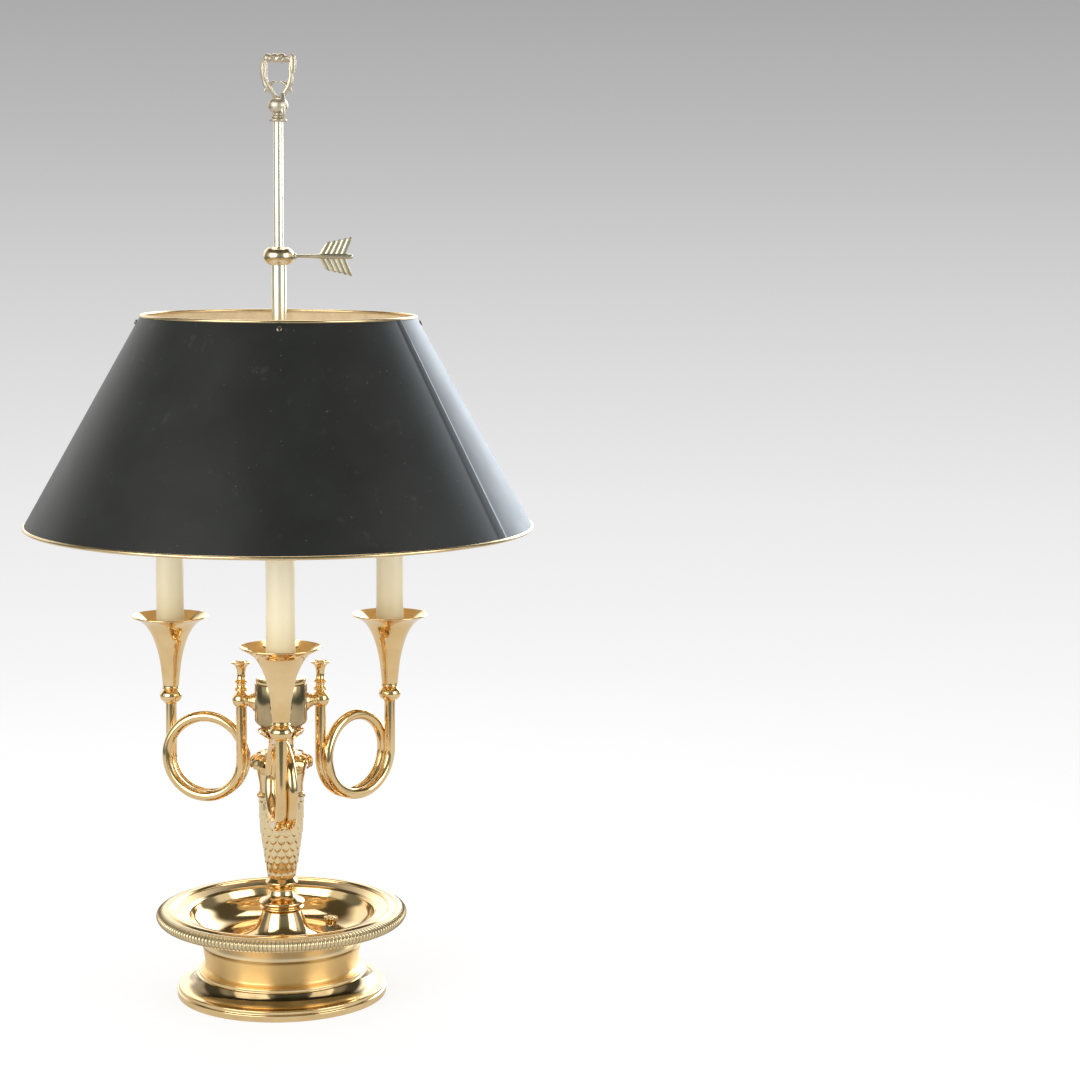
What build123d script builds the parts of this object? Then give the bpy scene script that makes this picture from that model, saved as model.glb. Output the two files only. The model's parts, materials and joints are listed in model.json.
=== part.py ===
from build123d import *
from math import atan2, cos, hypot, pi, radians, sin
import os

# Bouillotte lamp: three horn arms round a central column on a dished base, and a shade that slides on a rod.
# Millimetres, +Z up, origin at the centre of the base on the table. The front arm points to -Y.

os.makedirs("parts", exist_ok=True)

# --- clearances -------------------------------------------------------------------------------------------
running_gap = 0.05      # radial, between pieces that turn or slide on each other
free_gap = 0.3          # between moving pieces that must not rub
fit_gap = 0.02          # radial, between pieces of one assembly

# --- base: foot, drum and dish ----------------------------------------------------------------------------
foot_radius = 91.2
foot_band_height = 5.6
foot_edge_height = 9.1
foot_lip_inset = 1.4
foot_cove_radius = 6.3      # round between the flat rim and the step
foot_step_height = 2.8
foot_step_radius = 72.3
foot_step_ledge = 2.0
foot_wall = 2.6
drum_radius = 69.2
drum_waist = 2.6        # how much narrower the drum is at the foot
drum_height = 27.8
drum_cove_rise = 4.8
drum_wall = 2.2
flare_height = 19.5
flare_radius = 104.0
dish_bead_overhang = 4.5    # bead past the drum's flare
dish_bead_radius = flare_radius + dish_bead_overhang
dish_bead_width = 8.8
dish_ring_outer = dish_bead_radius - dish_bead_width
dish_ring_width = 6.0
dish_ring_inner = dish_ring_outer - dish_ring_width
dish_bowl_share = 0.325     # where the bowl's edge lies between the drum, 0, and its flare, 1
dish_bowl_radius = drum_radius + (flare_radius - drum_radius) * dish_bowl_share
dish_bowl_step = 2.0
dish_flange_inner = dish_bowl_radius + dish_bowl_step
dish_bowl_width = 24.5
dish_floor_radius = dish_bowl_radius - dish_bowl_width
dish_depth = 27.0
dish_sheet = 1.8
weight_radius = 62.0
weight_thickness = 8.0
felt_thickness = 1.2
base_plate_thickness = 1.2
inlet_bore_radius = 3.2
inlet_height = 16.0     # above the foot
inlet_wall = 1.8
inlet_flange = 3.8
inlet_flange_thickness = 3.0
inlet_reach = 3.0       # bushing past the drum's inner face
switch_knob_radius = 6.8
switch_knob_height = 8.4
switch_inset = 8.5          # switch inside the edge of the dish's floor
switch_radius_from_axis = dish_floor_radius - switch_inset
switch_azimuth = 25.0
switch_body_radius = 9.0
switch_body_height = 18.0
switch_stem_radius = 2.0

# --- column -----------------------------------------------------------------------------------------------
stud_radius = 4.85
stud_reach = 24.0       # stud above the cluster's floor
stud_bore_gap = 0.15
pedestal_height = 45.3
pedestal_shoulder_height = 30.5
pedestal_skirt_height = 25.0
pedestal_skirt_radius = 37.0
pedestal_shoulder_radius = 20.05
pedestal_neck_radius = 9.8
column_collar_height = 7.2
column_collar_radius = 14.0
vase_height = 94.2
vase_top_radius = 20.5
vase_bead_radius = 21.5
vase_foot_radius = 10.9
leaf_crown_height = 15.9
leaf_crown_radius = 27.3
leaf_count = 10
neck_height = 25.3
neck_radius = 10.9
knop_radius = 19.0
cluster_radius = 22.65
cluster_height = 37.0
cluster_wall = 2.5
cluster_cap_height = 4.9
cap_nut_height = 6.0
cap_nut_radius = 8.0
coupling_length = 20.0
rod_radius = 4.1
rod_height_over_cluster = 479.5
top_collar_height = 6.0
top_collar_radius = 7.5
handle_ball_radius = 7.3
handle_ball_rise = 7.3      # ball's centre above the top collar
handle_ring_width = 31.0
handle_ring_height = 34.8
handle_ring_section = 3.4
handle_ring_lift = 2.6      # gap between the ball and the ring

# --- arms -------------------------------------------------------------------------------------------------
arm_azimuths = {"front": 270.0, "left": 150.0, "right": 30.0}
arm_tube_radius = 4.75
arm_tube_wall = 1.0
arm_inner_radius = 39.7       # from the lamp's axis to the joint ball
arm_loop_radius = 35.3
arm_loop_advance = 14.0       # sideways travel of the tube over the loop's turn and a half
arm_loop_drop = 53.2          # from the joint ball down to the loop's centre
arm_loop_corners = 8          # corners of the tube's path in one turn
arm_joint_height = 18.5       # joint ball above the bottom of the cluster
joint_ball_radius = 7.8
joint_flange_radius = 9.2
joint_neck_radius = 4.9
finial_height = 27.0
finial_cup_radius = 9.0
finial_ring_radius = 6.5
finial_neck_radius = 3.4
finial_stem_radius = 2.0
finial_stem_depth = 5.3       # how far the stem reaches into the joint ball
cup_ball_radius = 9.7
cup_ball_height = 12.6
cup_height = 65.6
cup_rim_radius = 34.4
cup_foot_radius = 7.1
cup_wall = 1.2
cup_over_joint = 4.0          # bottom of the bell above the joint ball's centre
candle_radius = 12.0
candle_wall = 0.8
candle_length = 119.0
candle_taper = 24.0           # foot of the cover that widens
candle_seat_depth = 22.3      # foot of the candle cover below the bell's rim
socket_radius = 10.0
socket_bore_radius = 6.0
socket_bore_depth = 26.0
socket_length = 40.0
socket_recess = 2.0
nipple_radius = 3.85
nipple_engagement = 8.0

# --- shade, slide and key ---------------------------------------------------------------------------------
shade_bottom_z = 413.1
shade_height = 178.5
shade_bottom_radius = 216.4
shade_top_radius = 116.3
shade_sheet = 0.8
shade_bottom_wire = 1.7
shade_top_wire = 1.5
seam_azimuth = -32.5
seam_degrees = 3.2
seam_thickness = 0.5
spider_drop = 9.4             # top of the hub below the shade's top wire
spider_hub_height = 6.0
spider_hub_radius = 11.0
spider_bar_width = 7.0
spider_bar_thickness = 2.4
spider_arm_count = 4
shade_screw_drop = 6.1
shade_screw_radius = 1.5
shade_screw_head = 2.6
sleeve_radius = 6.15
sleeve_tail = 10.0
sleeve_key_gap = 1.0          # sleeve's top below the key's screw
sleeve_neck = 48.2            # sleeve seen between the hub nut and the collar
collar_radius = 13.1
collar_height = 15.1
collar_face_radius = 8.4
hub_nut_radius = 9.0
hub_nut_height = 4.0
key_screw_radius = 2.0
key_stem_radius = 1.5
key_shaft_radius = 2.2
key_length = 49.2
key_vane_length = 24.6
key_vane_height = 15.5
key_vane_sweep = 4.2
key_vane_thickness = 1.8
key_rib_count = 5

# --- levels worked out from the sizes above ---------------------------------------------------------------
foot_top_z = foot_edge_height + foot_cove_radius + foot_step_height
drum_foot_radius = drum_radius - drum_waist
drum_top_z = foot_top_z + drum_height
flare_top_z = drum_top_z + flare_height
dish_floor_z = drum_top_z + drum_wall + dish_sheet
dish_top_z = dish_floor_z + dish_depth
pedestal_top_z = dish_floor_z + pedestal_height
vase_z = pedestal_top_z + column_collar_height
crown_z = vase_z + vase_height
neck_z = crown_z + leaf_crown_height
cluster_z = neck_z + neck_height
cluster_top_z = cluster_z + cluster_height
cap_top_z = cluster_top_z + cluster_cap_height
stud_top_z = cluster_z + stud_reach
rod_top_z = cluster_top_z + rod_height_over_cluster
joint_z = cluster_z + arm_joint_height
loop_z = joint_z - arm_loop_drop
finial_z = joint_z + joint_ball_radius
finial_stem_z = finial_z - finial_stem_depth
arm_outer_radius = arm_inner_radius + hypot(2 * arm_loop_radius, arm_loop_advance)
cup_z = joint_z + cup_over_joint
cup_rim_z = cup_z + cup_height
candle_z = cup_rim_z - candle_seat_depth
candle_top_z = candle_z + candle_length
socket_top_z = candle_top_z - socket_recess
socket_z = socket_top_z - socket_length
shade_top_z = shade_bottom_z + shade_height
shade_slope = atan2(shade_bottom_radius - shade_top_radius, shade_height)
hub_top_z = shade_top_z - spider_drop
hub_z = hub_top_z - spider_hub_height
collar_z = hub_top_z + free_gap + hub_nut_height + sleeve_neck
collar_mid_z = collar_z + collar_height / 2
sleeve_z = hub_z - free_gap - hub_nut_height - sleeve_tail
sleeve_top_z = collar_mid_z - key_screw_radius - sleeve_key_gap
bore_radius = stud_radius + stud_bore_gap
rod_bore_radius = rod_radius + running_gap


def keep(piece, name):
    """Label a finished piece and write it as one STEP file."""
    piece.part.label = name
    export_step(piece.part, f"parts/{name}.step")


def upright_plane(azimuth, radius=0.0):
    """A plane whose x runs outward along the azimuth and whose y runs up, at a radius from the axis."""
    a = radians(azimuth)
    return Plane(
        origin=(radius * cos(a), radius * sin(a), 0),
        x_dir=(cos(a), sin(a), 0),
        z_dir=(sin(a), -cos(a), 0),
    )


def upright_axis(azimuth, radius):
    """The vertical line at a radius along the azimuth."""
    return Axis(upright_plane(azimuth, radius).origin, (0, 0, 1))


def shade_radius(z):
    """Radius of the middle of the shade's sheet at a height."""
    return shade_bottom_radius - (z - shade_bottom_z) * (shade_bottom_radius - shade_top_radius) / shade_height


# --- base foot: a banded edge with a lip, a flat rim, a cove and a stepped ring --------------------------
foot_lip_radius = foot_radius - foot_lip_inset
step_z = foot_edge_height + foot_cove_radius
cove_top_radius = foot_step_radius + foot_step_ledge
cove_foot_radius = cove_top_radius + foot_cove_radius
cove_under_radius = cove_foot_radius - foot_wall
with BuildPart() as base_foot:
    with BuildSketch(Plane.XZ):
        with BuildLine():
            Polyline(
                (cove_foot_radius, foot_edge_height),
                (foot_lip_radius - 0.8, foot_edge_height),
                (foot_lip_radius, foot_edge_height - 0.8),
                (foot_lip_radius, foot_band_height + 0.6),
                (foot_radius, foot_band_height),
                (foot_radius, 0),
                (foot_radius - foot_wall, 0),
                (foot_radius - foot_wall, foot_edge_height - foot_wall),
                (cove_under_radius, foot_edge_height - foot_wall),
            )
            ThreePointArc(
                (cove_under_radius, foot_edge_height - foot_wall),
                (
                    cove_under_radius - foot_cove_radius * sin(pi / 4),
                    foot_edge_height - foot_wall + foot_cove_radius * (1 - cos(pi / 4)),
                ),
                (cove_under_radius - foot_cove_radius, step_z - foot_wall),
            )
            Polyline(
                (cove_under_radius - foot_cove_radius, step_z - foot_wall),
                (foot_step_radius - foot_wall, foot_top_z - foot_wall),
                (weight_radius - 2, foot_top_z - foot_wall),
                (weight_radius - 2, foot_top_z),
                (foot_step_radius, foot_top_z),
                (foot_step_radius, step_z),
                (cove_top_radius, step_z),
            )
            ThreePointArc(
                (cove_top_radius, step_z),
                (
                    cove_foot_radius - foot_cove_radius * sin(pi / 4),
                    foot_edge_height + foot_cove_radius * (1 - cos(pi / 4)),
                ),
                (cove_foot_radius, foot_edge_height),
            )
        make_face()
    revolve(axis=Axis.Z)
keep(base_foot, "base_foot")

# --- base drum: waisted wall, a shelf for the dish, and a cove that spreads out under the dish's rim ------
cove_inner = drum_radius + 1.0
flare_lip_z = flare_top_z - 1.6
shelf_radius = drum_foot_radius - 7.0
with BuildPart() as base_drum:
    with BuildSketch(Plane.XZ):
        with BuildLine():
            Line((foot_step_radius - 1.2, foot_top_z), (foot_step_radius - 1.2, foot_top_z + 0.6))
            ThreePointArc(
                (foot_step_radius - 1.2, foot_top_z + 0.6),
                (drum_foot_radius + 1.6, foot_top_z + drum_cove_rise * 0.45),
                (drum_foot_radius, foot_top_z + drum_cove_rise),
            )
            Polyline(
                (drum_foot_radius, foot_top_z + drum_cove_rise),
                (drum_radius, drum_top_z - 0.6),
                (cove_inner, drum_top_z),
            )
            TangentArc((flare_radius, flare_lip_z), (cove_inner, drum_top_z), tangent=(-1, 0))
            Polyline(
                (flare_radius, flare_lip_z),
                (flare_radius, flare_top_z),
                (flare_radius - 3.0, flare_top_z),
            )
            TangentArc(
                (flare_radius - 3.0, flare_top_z),
                (cove_inner - 1.2, drum_top_z + drum_wall),
                tangent=(-1, 0),
            )
            Polyline(
                (cove_inner - 1.2, drum_top_z + drum_wall),
                (shelf_radius, drum_top_z + drum_wall),
                (shelf_radius, drum_top_z),
                (drum_radius - drum_wall, drum_top_z - 1.5),
                (drum_foot_radius - drum_wall, foot_top_z + drum_cove_rise),
                (drum_foot_radius - drum_wall, foot_top_z),
                (foot_step_radius - 1.2, foot_top_z),
            )
        make_face()
    revolve(axis=Axis.Z)
    with BuildSketch(Plane.XZ.offset(-drum_radius - 5)):
        with Locations((0, foot_top_z + inlet_height)):
            Circle(inlet_bore_radius + inlet_wall + fit_gap)
    extrude(amount=drum_radius, mode=Mode.SUBTRACT)
keep(base_drum, "base_drum")

# --- dish: bowl with a flat floor, a stepped ledge, a smooth ring and a rolled bead ----------------------
switch_spot = upright_plane(switch_azimuth, switch_radius_from_axis).origin
switch_plane = Plane(origin=(switch_spot.X, switch_spot.Y, dish_floor_z))
ledge_z = dish_top_z - 4.1
ring_z = dish_top_z - 0.5
bead_top_z = dish_top_z - 1.5
bead_mid_z = dish_top_z - 6.9
with BuildPart() as dish_pan:
    with BuildSketch(Plane.XZ):
        with BuildLine():
            Line((bore_radius, dish_floor_z), (dish_floor_radius, dish_floor_z))
            ThreePointArc(
                (dish_floor_radius, dish_floor_z),
                (dish_bowl_radius - 6.0, dish_floor_z + (ledge_z - dish_floor_z) * 0.42),
                (dish_bowl_radius, ledge_z - 2.4),
            )
            Polyline(
                (dish_bowl_radius, ledge_z - 2.4),
                (dish_bowl_radius + 0.6, ledge_z - 0.8),
                (dish_flange_inner, ledge_z),
                (dish_ring_inner - 1.2, ring_z - 1.4),
                (dish_ring_inner, ring_z),
            )
            ThreePointArc(
                (dish_ring_inner, ring_z),
                ((dish_ring_inner + dish_ring_outer) / 2, dish_top_z),
                (dish_ring_outer, bead_top_z),
            )
            ThreePointArc(
                (dish_ring_outer, bead_top_z),
                (dish_bead_radius - 2.0, bead_mid_z + 4.0),
                (dish_bead_radius, bead_mid_z),
            )
            ThreePointArc(
                (dish_bead_radius, bead_mid_z),
                (dish_bead_radius - 0.9, flare_top_z + (bead_mid_z - flare_top_z) * 0.3),
                (flare_radius + 0.6, flare_top_z),
            )
            Polyline(
                (flare_radius + 0.6, flare_top_z),
                (flare_radius - 3.0, flare_top_z),
                (dish_ring_outer - 1.0, bead_top_z - 3.0),
                (dish_flange_inner, ledge_z - dish_sheet),
                (dish_bowl_radius + dish_sheet, ledge_z - dish_sheet - 1.2),
            )
            ThreePointArc(
                (dish_bowl_radius + dish_sheet, ledge_z - dish_sheet - 1.2),
                (dish_bowl_radius - 6.0 + dish_sheet, dish_floor_z + (ledge_z - dish_floor_z) * 0.42 - 1.2),
                (dish_floor_radius, dish_floor_z - dish_sheet),
            )
            Polyline(
                (dish_floor_radius, dish_floor_z - dish_sheet),
                (bore_radius, dish_floor_z - dish_sheet),
                (bore_radius, dish_floor_z),
            )
        make_face()
    revolve(axis=Axis.Z)
    with BuildSketch(switch_plane):
        Circle(switch_stem_radius * 2 + fit_gap)
    extrude(amount=dish_sheet * 2, both=True, mode=Mode.SUBTRACT)
keep(dish_pan, "dish_pan")

# --- inside the base: iron weight, closing plate, felt, and the stud with its nuts ------------------------
weight_top_z = foot_top_z - foot_wall
weight_z = weight_top_z - weight_thickness
with BuildPart() as base_weight:
    with BuildSketch(Plane.XY.offset(weight_z)):
        Circle(weight_radius + 4)
        Circle(bore_radius, mode=Mode.SUBTRACT)
    extrude(amount=weight_thickness)
    fillet(base_weight.edges().filter_by(GeomType.CIRCLE).group_by(SortBy.RADIUS)[-1], 1.2)
keep(base_weight, "base_weight")

with BuildPart() as felt_pad:
    with BuildSketch(Plane.XY):
        Circle(foot_radius - foot_wall - 0.6)
    extrude(amount=felt_thickness)
keep(felt_pad, "felt_pad")

with BuildPart() as base_plate:
    with BuildSketch(Plane.XY.offset(felt_thickness)):
        Circle(foot_radius - foot_wall - free_gap)
    extrude(amount=base_plate_thickness)
keep(base_plate, "base_plate")

nut_z = felt_thickness + base_plate_thickness + 0.9
washer_thickness = 1.2
with BuildPart() as stud_nut:
    with BuildSketch(Plane.XY.offset(nut_z)):
        RegularPolygon(radius=8.0, side_count=6)
        Circle(stud_radius + fit_gap, mode=Mode.SUBTRACT)
    extrude(amount=weight_z - washer_thickness - nut_z)
keep(stud_nut, "stud_nut")

with BuildPart() as stud_washer:
    with BuildSketch(Plane.XY.offset(weight_z - washer_thickness)):
        Circle(12.0)
        Circle(bore_radius, mode=Mode.SUBTRACT)
    extrude(amount=washer_thickness)
keep(stud_washer, "stud_washer")

with BuildPart() as column_stud:
    with BuildSketch(Plane.XY.offset(nut_z)):
        Circle(stud_radius)
    extrude(amount=stud_top_z - nut_z)
    chamfer(column_stud.edges(), 0.5)
keep(column_stud, "column_stud")

# --- cord inlet: a bushing through the back of the drum -----------------------------------------------
inlet_z = foot_top_z + inlet_height
inlet_inner_y = drum_foot_radius - drum_wall - inlet_reach
inlet_flange_y = drum_radius + 0.4
inlet_outer_y = inlet_flange_y + inlet_flange_thickness
with BuildPart() as cord_bushing:
    with BuildSketch(Plane.XZ.offset(-inlet_inner_y)):
        with Locations((0, inlet_z)):
            Circle(inlet_bore_radius + inlet_wall)
    extrude(amount=inlet_inner_y - inlet_flange_y)
    with BuildSketch(Plane.XZ.offset(-inlet_flange_y)):
        with Locations((0, inlet_z)):
            Circle(inlet_bore_radius + inlet_flange)
    extrude(amount=-inlet_flange_thickness)
    fillet(cord_bushing.edges().group_by(Axis.Y)[-1], 1.0)
    with BuildSketch(Plane.XZ):
        with Locations((0, inlet_z)):
            Circle(inlet_bore_radius)
    extrude(amount=-inlet_outer_y, mode=Mode.SUBTRACT)
keep(cord_bushing, "cord_bushing")

# --- rotary switch: body under the dish, nut on its floor, fluted knob above ------------------------------
switch_bushing_radius = switch_stem_radius * 2
switch_nut_height = 2.0
with BuildPart() as switch_body:
    with BuildSketch(switch_plane.offset(-dish_sheet)):
        Circle(switch_body_radius)
    extrude(amount=-switch_body_height)
    with BuildSketch(switch_plane.offset(-dish_sheet)):
        Circle(switch_bushing_radius)
    extrude(amount=dish_sheet + switch_nut_height)
    with BuildSketch(switch_plane.offset(switch_nut_height)):
        Circle(switch_stem_radius + running_gap)
    extrude(amount=-(dish_sheet + switch_nut_height + 8.0), mode=Mode.SUBTRACT)
keep(switch_body, "switch_body")

with BuildPart() as switch_nut:
    with BuildSketch(switch_plane):
        RegularPolygon(radius=switch_bushing_radius * 1.6, side_count=6)
        Circle(switch_bushing_radius + fit_gap, mode=Mode.SUBTRACT)
    extrude(amount=switch_nut_height)
keep(switch_nut, "switch_nut")

knob_plane = switch_plane.offset(switch_nut_height + free_gap)
with BuildPart() as switch_knob:
    with BuildSketch(knob_plane):
        Circle(switch_knob_radius * 0.72)
    with BuildSketch(knob_plane.offset(switch_knob_height * 0.72)):
        Circle(switch_knob_radius)
    loft()
    with BuildSketch(knob_plane.offset(switch_knob_height * 0.72)):
        Circle(switch_knob_radius)
    extrude(amount=switch_knob_height * 0.28)
    fillet(switch_knob.edges().group_by(Axis.Z)[-1], 1.4)
    with BuildSketch(knob_plane):
        with PolarLocations(switch_knob_radius + 0.5, 8):
            Circle(1.5)
    extrude(amount=switch_knob_height, mode=Mode.SUBTRACT)
    with BuildSketch(knob_plane):
        Circle(switch_stem_radius)
    extrude(amount=-(switch_nut_height + dish_sheet + 6.0))
keep(switch_knob, "switch_knob")

# --- column: pedestal, double-cone collar, scaled vase, leaf crown and neck -------------------------------
shoulder_z = dish_floor_z + pedestal_shoulder_height
skirt_top_z = dish_floor_z + pedestal_skirt_height
skirt_neck_radius = pedestal_shoulder_radius - 3.5
with BuildPart() as column_pedestal:
    with BuildSketch(Plane.XZ):
        with BuildLine():
            Polyline(
                (bore_radius, pedestal_top_z),
                (bore_radius, dish_floor_z),
                (pedestal_skirt_radius, dish_floor_z),
                (pedestal_skirt_radius, dish_floor_z + 0.6),
            )
            Spline(
                (pedestal_skirt_radius, dish_floor_z + 0.6),
                (pedestal_skirt_radius - 13.0, dish_floor_z + 5.7),
                (pedestal_skirt_radius - 17.5, dish_floor_z + 14.5),
                (skirt_neck_radius, skirt_top_z - 1.5),
            )
            Polyline(
                (skirt_neck_radius, skirt_top_z - 1.5),
                (skirt_neck_radius, skirt_top_z),
                (skirt_neck_radius + 1.8, skirt_top_z + 0.6),
                (skirt_neck_radius + 1.8, skirt_top_z + 2.0),
                (skirt_neck_radius + 0.6, skirt_top_z + 2.8),
            )
            ThreePointArc(
                (skirt_neck_radius + 0.6, skirt_top_z + 2.8),
                (pedestal_shoulder_radius, shoulder_z),
                (pedestal_shoulder_radius - 2.6, shoulder_z + 2.6),
            )
            Spline(
                (pedestal_shoulder_radius - 2.6, shoulder_z + 2.6),
                (pedestal_neck_radius + 2.6, shoulder_z + 5.4),
                (pedestal_neck_radius, shoulder_z + 10.5),
            )
            Polyline(
                (pedestal_neck_radius, shoulder_z + 10.5),
                (pedestal_neck_radius, pedestal_top_z),
                (bore_radius, pedestal_top_z),
            )
        make_face()
    revolve(axis=Axis.Z)
keep(column_pedestal, "column_pedestal")

with BuildPart() as column_collar:
    with BuildSketch(Plane.XZ):
        with BuildLine():
            Polyline(
                (bore_radius, pedestal_top_z),
                (pedestal_neck_radius, pedestal_top_z),
                (column_collar_radius, pedestal_top_z + 1.5),
                (column_collar_radius, pedestal_top_z + 2.1),
                (vase_foot_radius, vase_z),
                (bore_radius, vase_z),
                close=True,
            )
        make_face()
    revolve(axis=Axis.Z)
keep(column_collar, "column_collar")

vase_bead_z = vase_z + vase_height * 0.778
vase_waist_radius = vase_top_radius - 1.4
with BuildPart() as column_vase:
    with BuildSketch(Plane.XZ):
        with BuildLine():
            Line((bore_radius, vase_z), (vase_foot_radius, vase_z))
            ThreePointArc(
                (vase_foot_radius, vase_z),
                (vase_foot_radius + 2.4, vase_z + 2.2),
                (vase_foot_radius + 3.1, vase_z + 6.0),
            )
            Spline(
                (vase_foot_radius + 3.1, vase_z + 6.0),
                (vase_foot_radius + 4.9, vase_z + vase_height * 0.234),
                (vase_waist_radius - 0.6, vase_z + vase_height * 0.456),
                (vase_waist_radius, vase_z + vase_height * 0.637),
                (vase_waist_radius, vase_bead_z - 2.4),
            )
            ThreePointArc(
                (vase_waist_radius, vase_bead_z - 2.4),
                (vase_bead_radius, vase_bead_z),
                (vase_waist_radius, vase_bead_z + 2.4),
            )
            Spline(
                (vase_waist_radius, vase_bead_z + 2.4),
                (vase_waist_radius + 0.2, vase_bead_z + 10.0),
                (vase_top_radius, crown_z),
            )
            Polyline((vase_top_radius, crown_z), (bore_radius, crown_z), (bore_radius, vase_z))
        make_face()
    revolve(axis=Axis.Z)
keep(column_vase, "column_vase")

crown_tip_z = crown_z + leaf_crown_height * 0.5
crown_neck_radius = leaf_crown_radius - 7.4
with BuildPart() as leaf_crown:
    with BuildSketch(Plane.XZ):
        with BuildLine():
            Line((bore_radius, crown_z), (vase_top_radius, crown_z))
            ThreePointArc(
                (vase_top_radius, crown_z),
                (leaf_crown_radius - 1.6, crown_z + 3.4),
                (leaf_crown_radius, crown_tip_z),
            )
            ThreePointArc(
                (leaf_crown_radius, crown_tip_z),
                (leaf_crown_radius - 2.8, crown_tip_z + 4.6),
                (crown_neck_radius, neck_z),
            )
            Polyline((crown_neck_radius, neck_z), (bore_radius, neck_z), (bore_radius, crown_z))
        make_face()
    revolve(axis=Axis.Z)
    with BuildSketch(Plane.XY.offset(crown_z)):
        with PolarLocations(leaf_crown_radius + 1.2, leaf_count):
            Circle(3.4)
    extrude(amount=leaf_crown_height, mode=Mode.SUBTRACT)
keep(leaf_crown, "leaf_crown")

knop_z = cluster_z - 5.4
with BuildPart() as column_neck:
    with BuildSketch(Plane.XZ):
        with BuildLine():
            Line((bore_radius, neck_z), (crown_neck_radius - 0.4, neck_z))
            ThreePointArc(
                (crown_neck_radius - 0.4, neck_z),
                (neck_radius + 3.6, neck_z + 2.0),
                (neck_radius, neck_z + 6.0),
            )
            Line((neck_radius, neck_z + 6.0), (neck_radius, knop_z - 7.0))
            ThreePointArc(
                (neck_radius, knop_z - 7.0),
                (neck_radius + 2.2, knop_z - 3.6),
                (knop_radius - 1.0, knop_z - 1.0),
            )
            ThreePointArc(
                (knop_radius - 1.0, knop_z - 1.0),
                (knop_radius, knop_z + 1.0),
                (knop_radius - 1.2, knop_z + 3.0),
            )
            Polyline(
                (knop_radius - 1.2, knop_z + 3.0),
                (knop_radius - 3.0, cluster_z),
                (bore_radius, cluster_z),
                (bore_radius, neck_z),
            )
        make_face()
    revolve(axis=Axis.Z)
keep(column_neck, "column_neck")

# --- cluster: drum that the arms screw into, its cap, the rod coupling and the cap nut --------------------
joint_port_radius = arm_tube_radius + fit_gap
with BuildPart() as cluster_body:
    with BuildSketch(Plane.XY.offset(cluster_z)):
        Circle(cluster_radius)
    extrude(amount=cluster_height)
    fillet(cluster_body.edges().group_by(Axis.Z)[0], 3.5)
    with BuildSketch(Plane.XY.offset(cluster_z + cluster_wall + 1.0)):
        Circle(cluster_radius - cluster_wall)
    extrude(amount=cluster_height, mode=Mode.SUBTRACT)
    with BuildSketch(Plane.XY.offset(cluster_z)):
        Circle(bore_radius)
    extrude(amount=cluster_height, mode=Mode.SUBTRACT)
    for azimuth in arm_azimuths.values():
        side = upright_plane(azimuth)
        with BuildSketch(Plane(origin=(0, 0, joint_z), z_dir=side.x_dir)):
            Circle(joint_port_radius)
        extrude(amount=cluster_radius * 1.2, mode=Mode.SUBTRACT)
keep(cluster_body, "cluster_body")

with BuildPart() as cluster_cap:
    with BuildSketch(Plane.XY.offset(cluster_top_z)):
        Circle(cluster_radius - 1.0)
    extrude(amount=cluster_cap_height)
    fillet(cluster_cap.edges().group_by(Axis.Z)[-1], 1.2)
    with BuildSketch(Plane.XY.offset(cluster_top_z)):
        Circle(cluster_radius - cluster_wall - fit_gap)
    extrude(amount=-2.5)
    with BuildSketch(Plane.XY.offset(cluster_top_z - 2.5)):
        Circle(rod_radius + fit_gap)
    extrude(amount=cluster_cap_height + 2.5, mode=Mode.SUBTRACT)
keep(cluster_cap, "cluster_cap")

with BuildPart() as cap_nut:
    with BuildSketch(Plane.XY.offset(cap_top_z)):
        Circle(cap_nut_radius)
    extrude(amount=cap_nut_height)
    fillet(cap_nut.edges().group_by(Axis.Z)[-1], 2.0)
    with BuildSketch(Plane.XY.offset(cap_top_z)):
        Circle(rod_radius + fit_gap)
    extrude(amount=cap_nut_height, mode=Mode.SUBTRACT)
keep(cap_nut, "cap_nut")

with BuildPart() as rod_coupling:
    with BuildSketch(Plane.XY.offset(stud_top_z - coupling_length / 2)):
        RegularPolygon(radius=stud_radius * 1.7, side_count=6)
    extrude(amount=coupling_length)
    with BuildSketch(Plane.XY.offset(stud_top_z)):
        Circle(stud_radius + fit_gap)
    extrude(amount=-coupling_length, mode=Mode.SUBTRACT)
    with BuildSketch(Plane.XY.offset(stud_top_z)):
        Circle(rod_radius + fit_gap)
    extrude(amount=coupling_length, mode=Mode.SUBTRACT)
keep(rod_coupling, "rod_coupling")

# --- centre rod, its collar and the ring handle -----------------------------------------------------------
handle_ball_z = rod_top_z + top_collar_height + handle_ball_rise
rod_tenon = 3.0
with BuildPart() as center_rod:
    with BuildSketch(Plane.XY.offset(stud_top_z)):
        Circle(rod_radius)
    extrude(amount=rod_top_z + top_collar_height - rod_tenon - stud_top_z)
    chamfer(center_rod.edges(), 0.4)
keep(center_rod, "center_rod")

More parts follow.
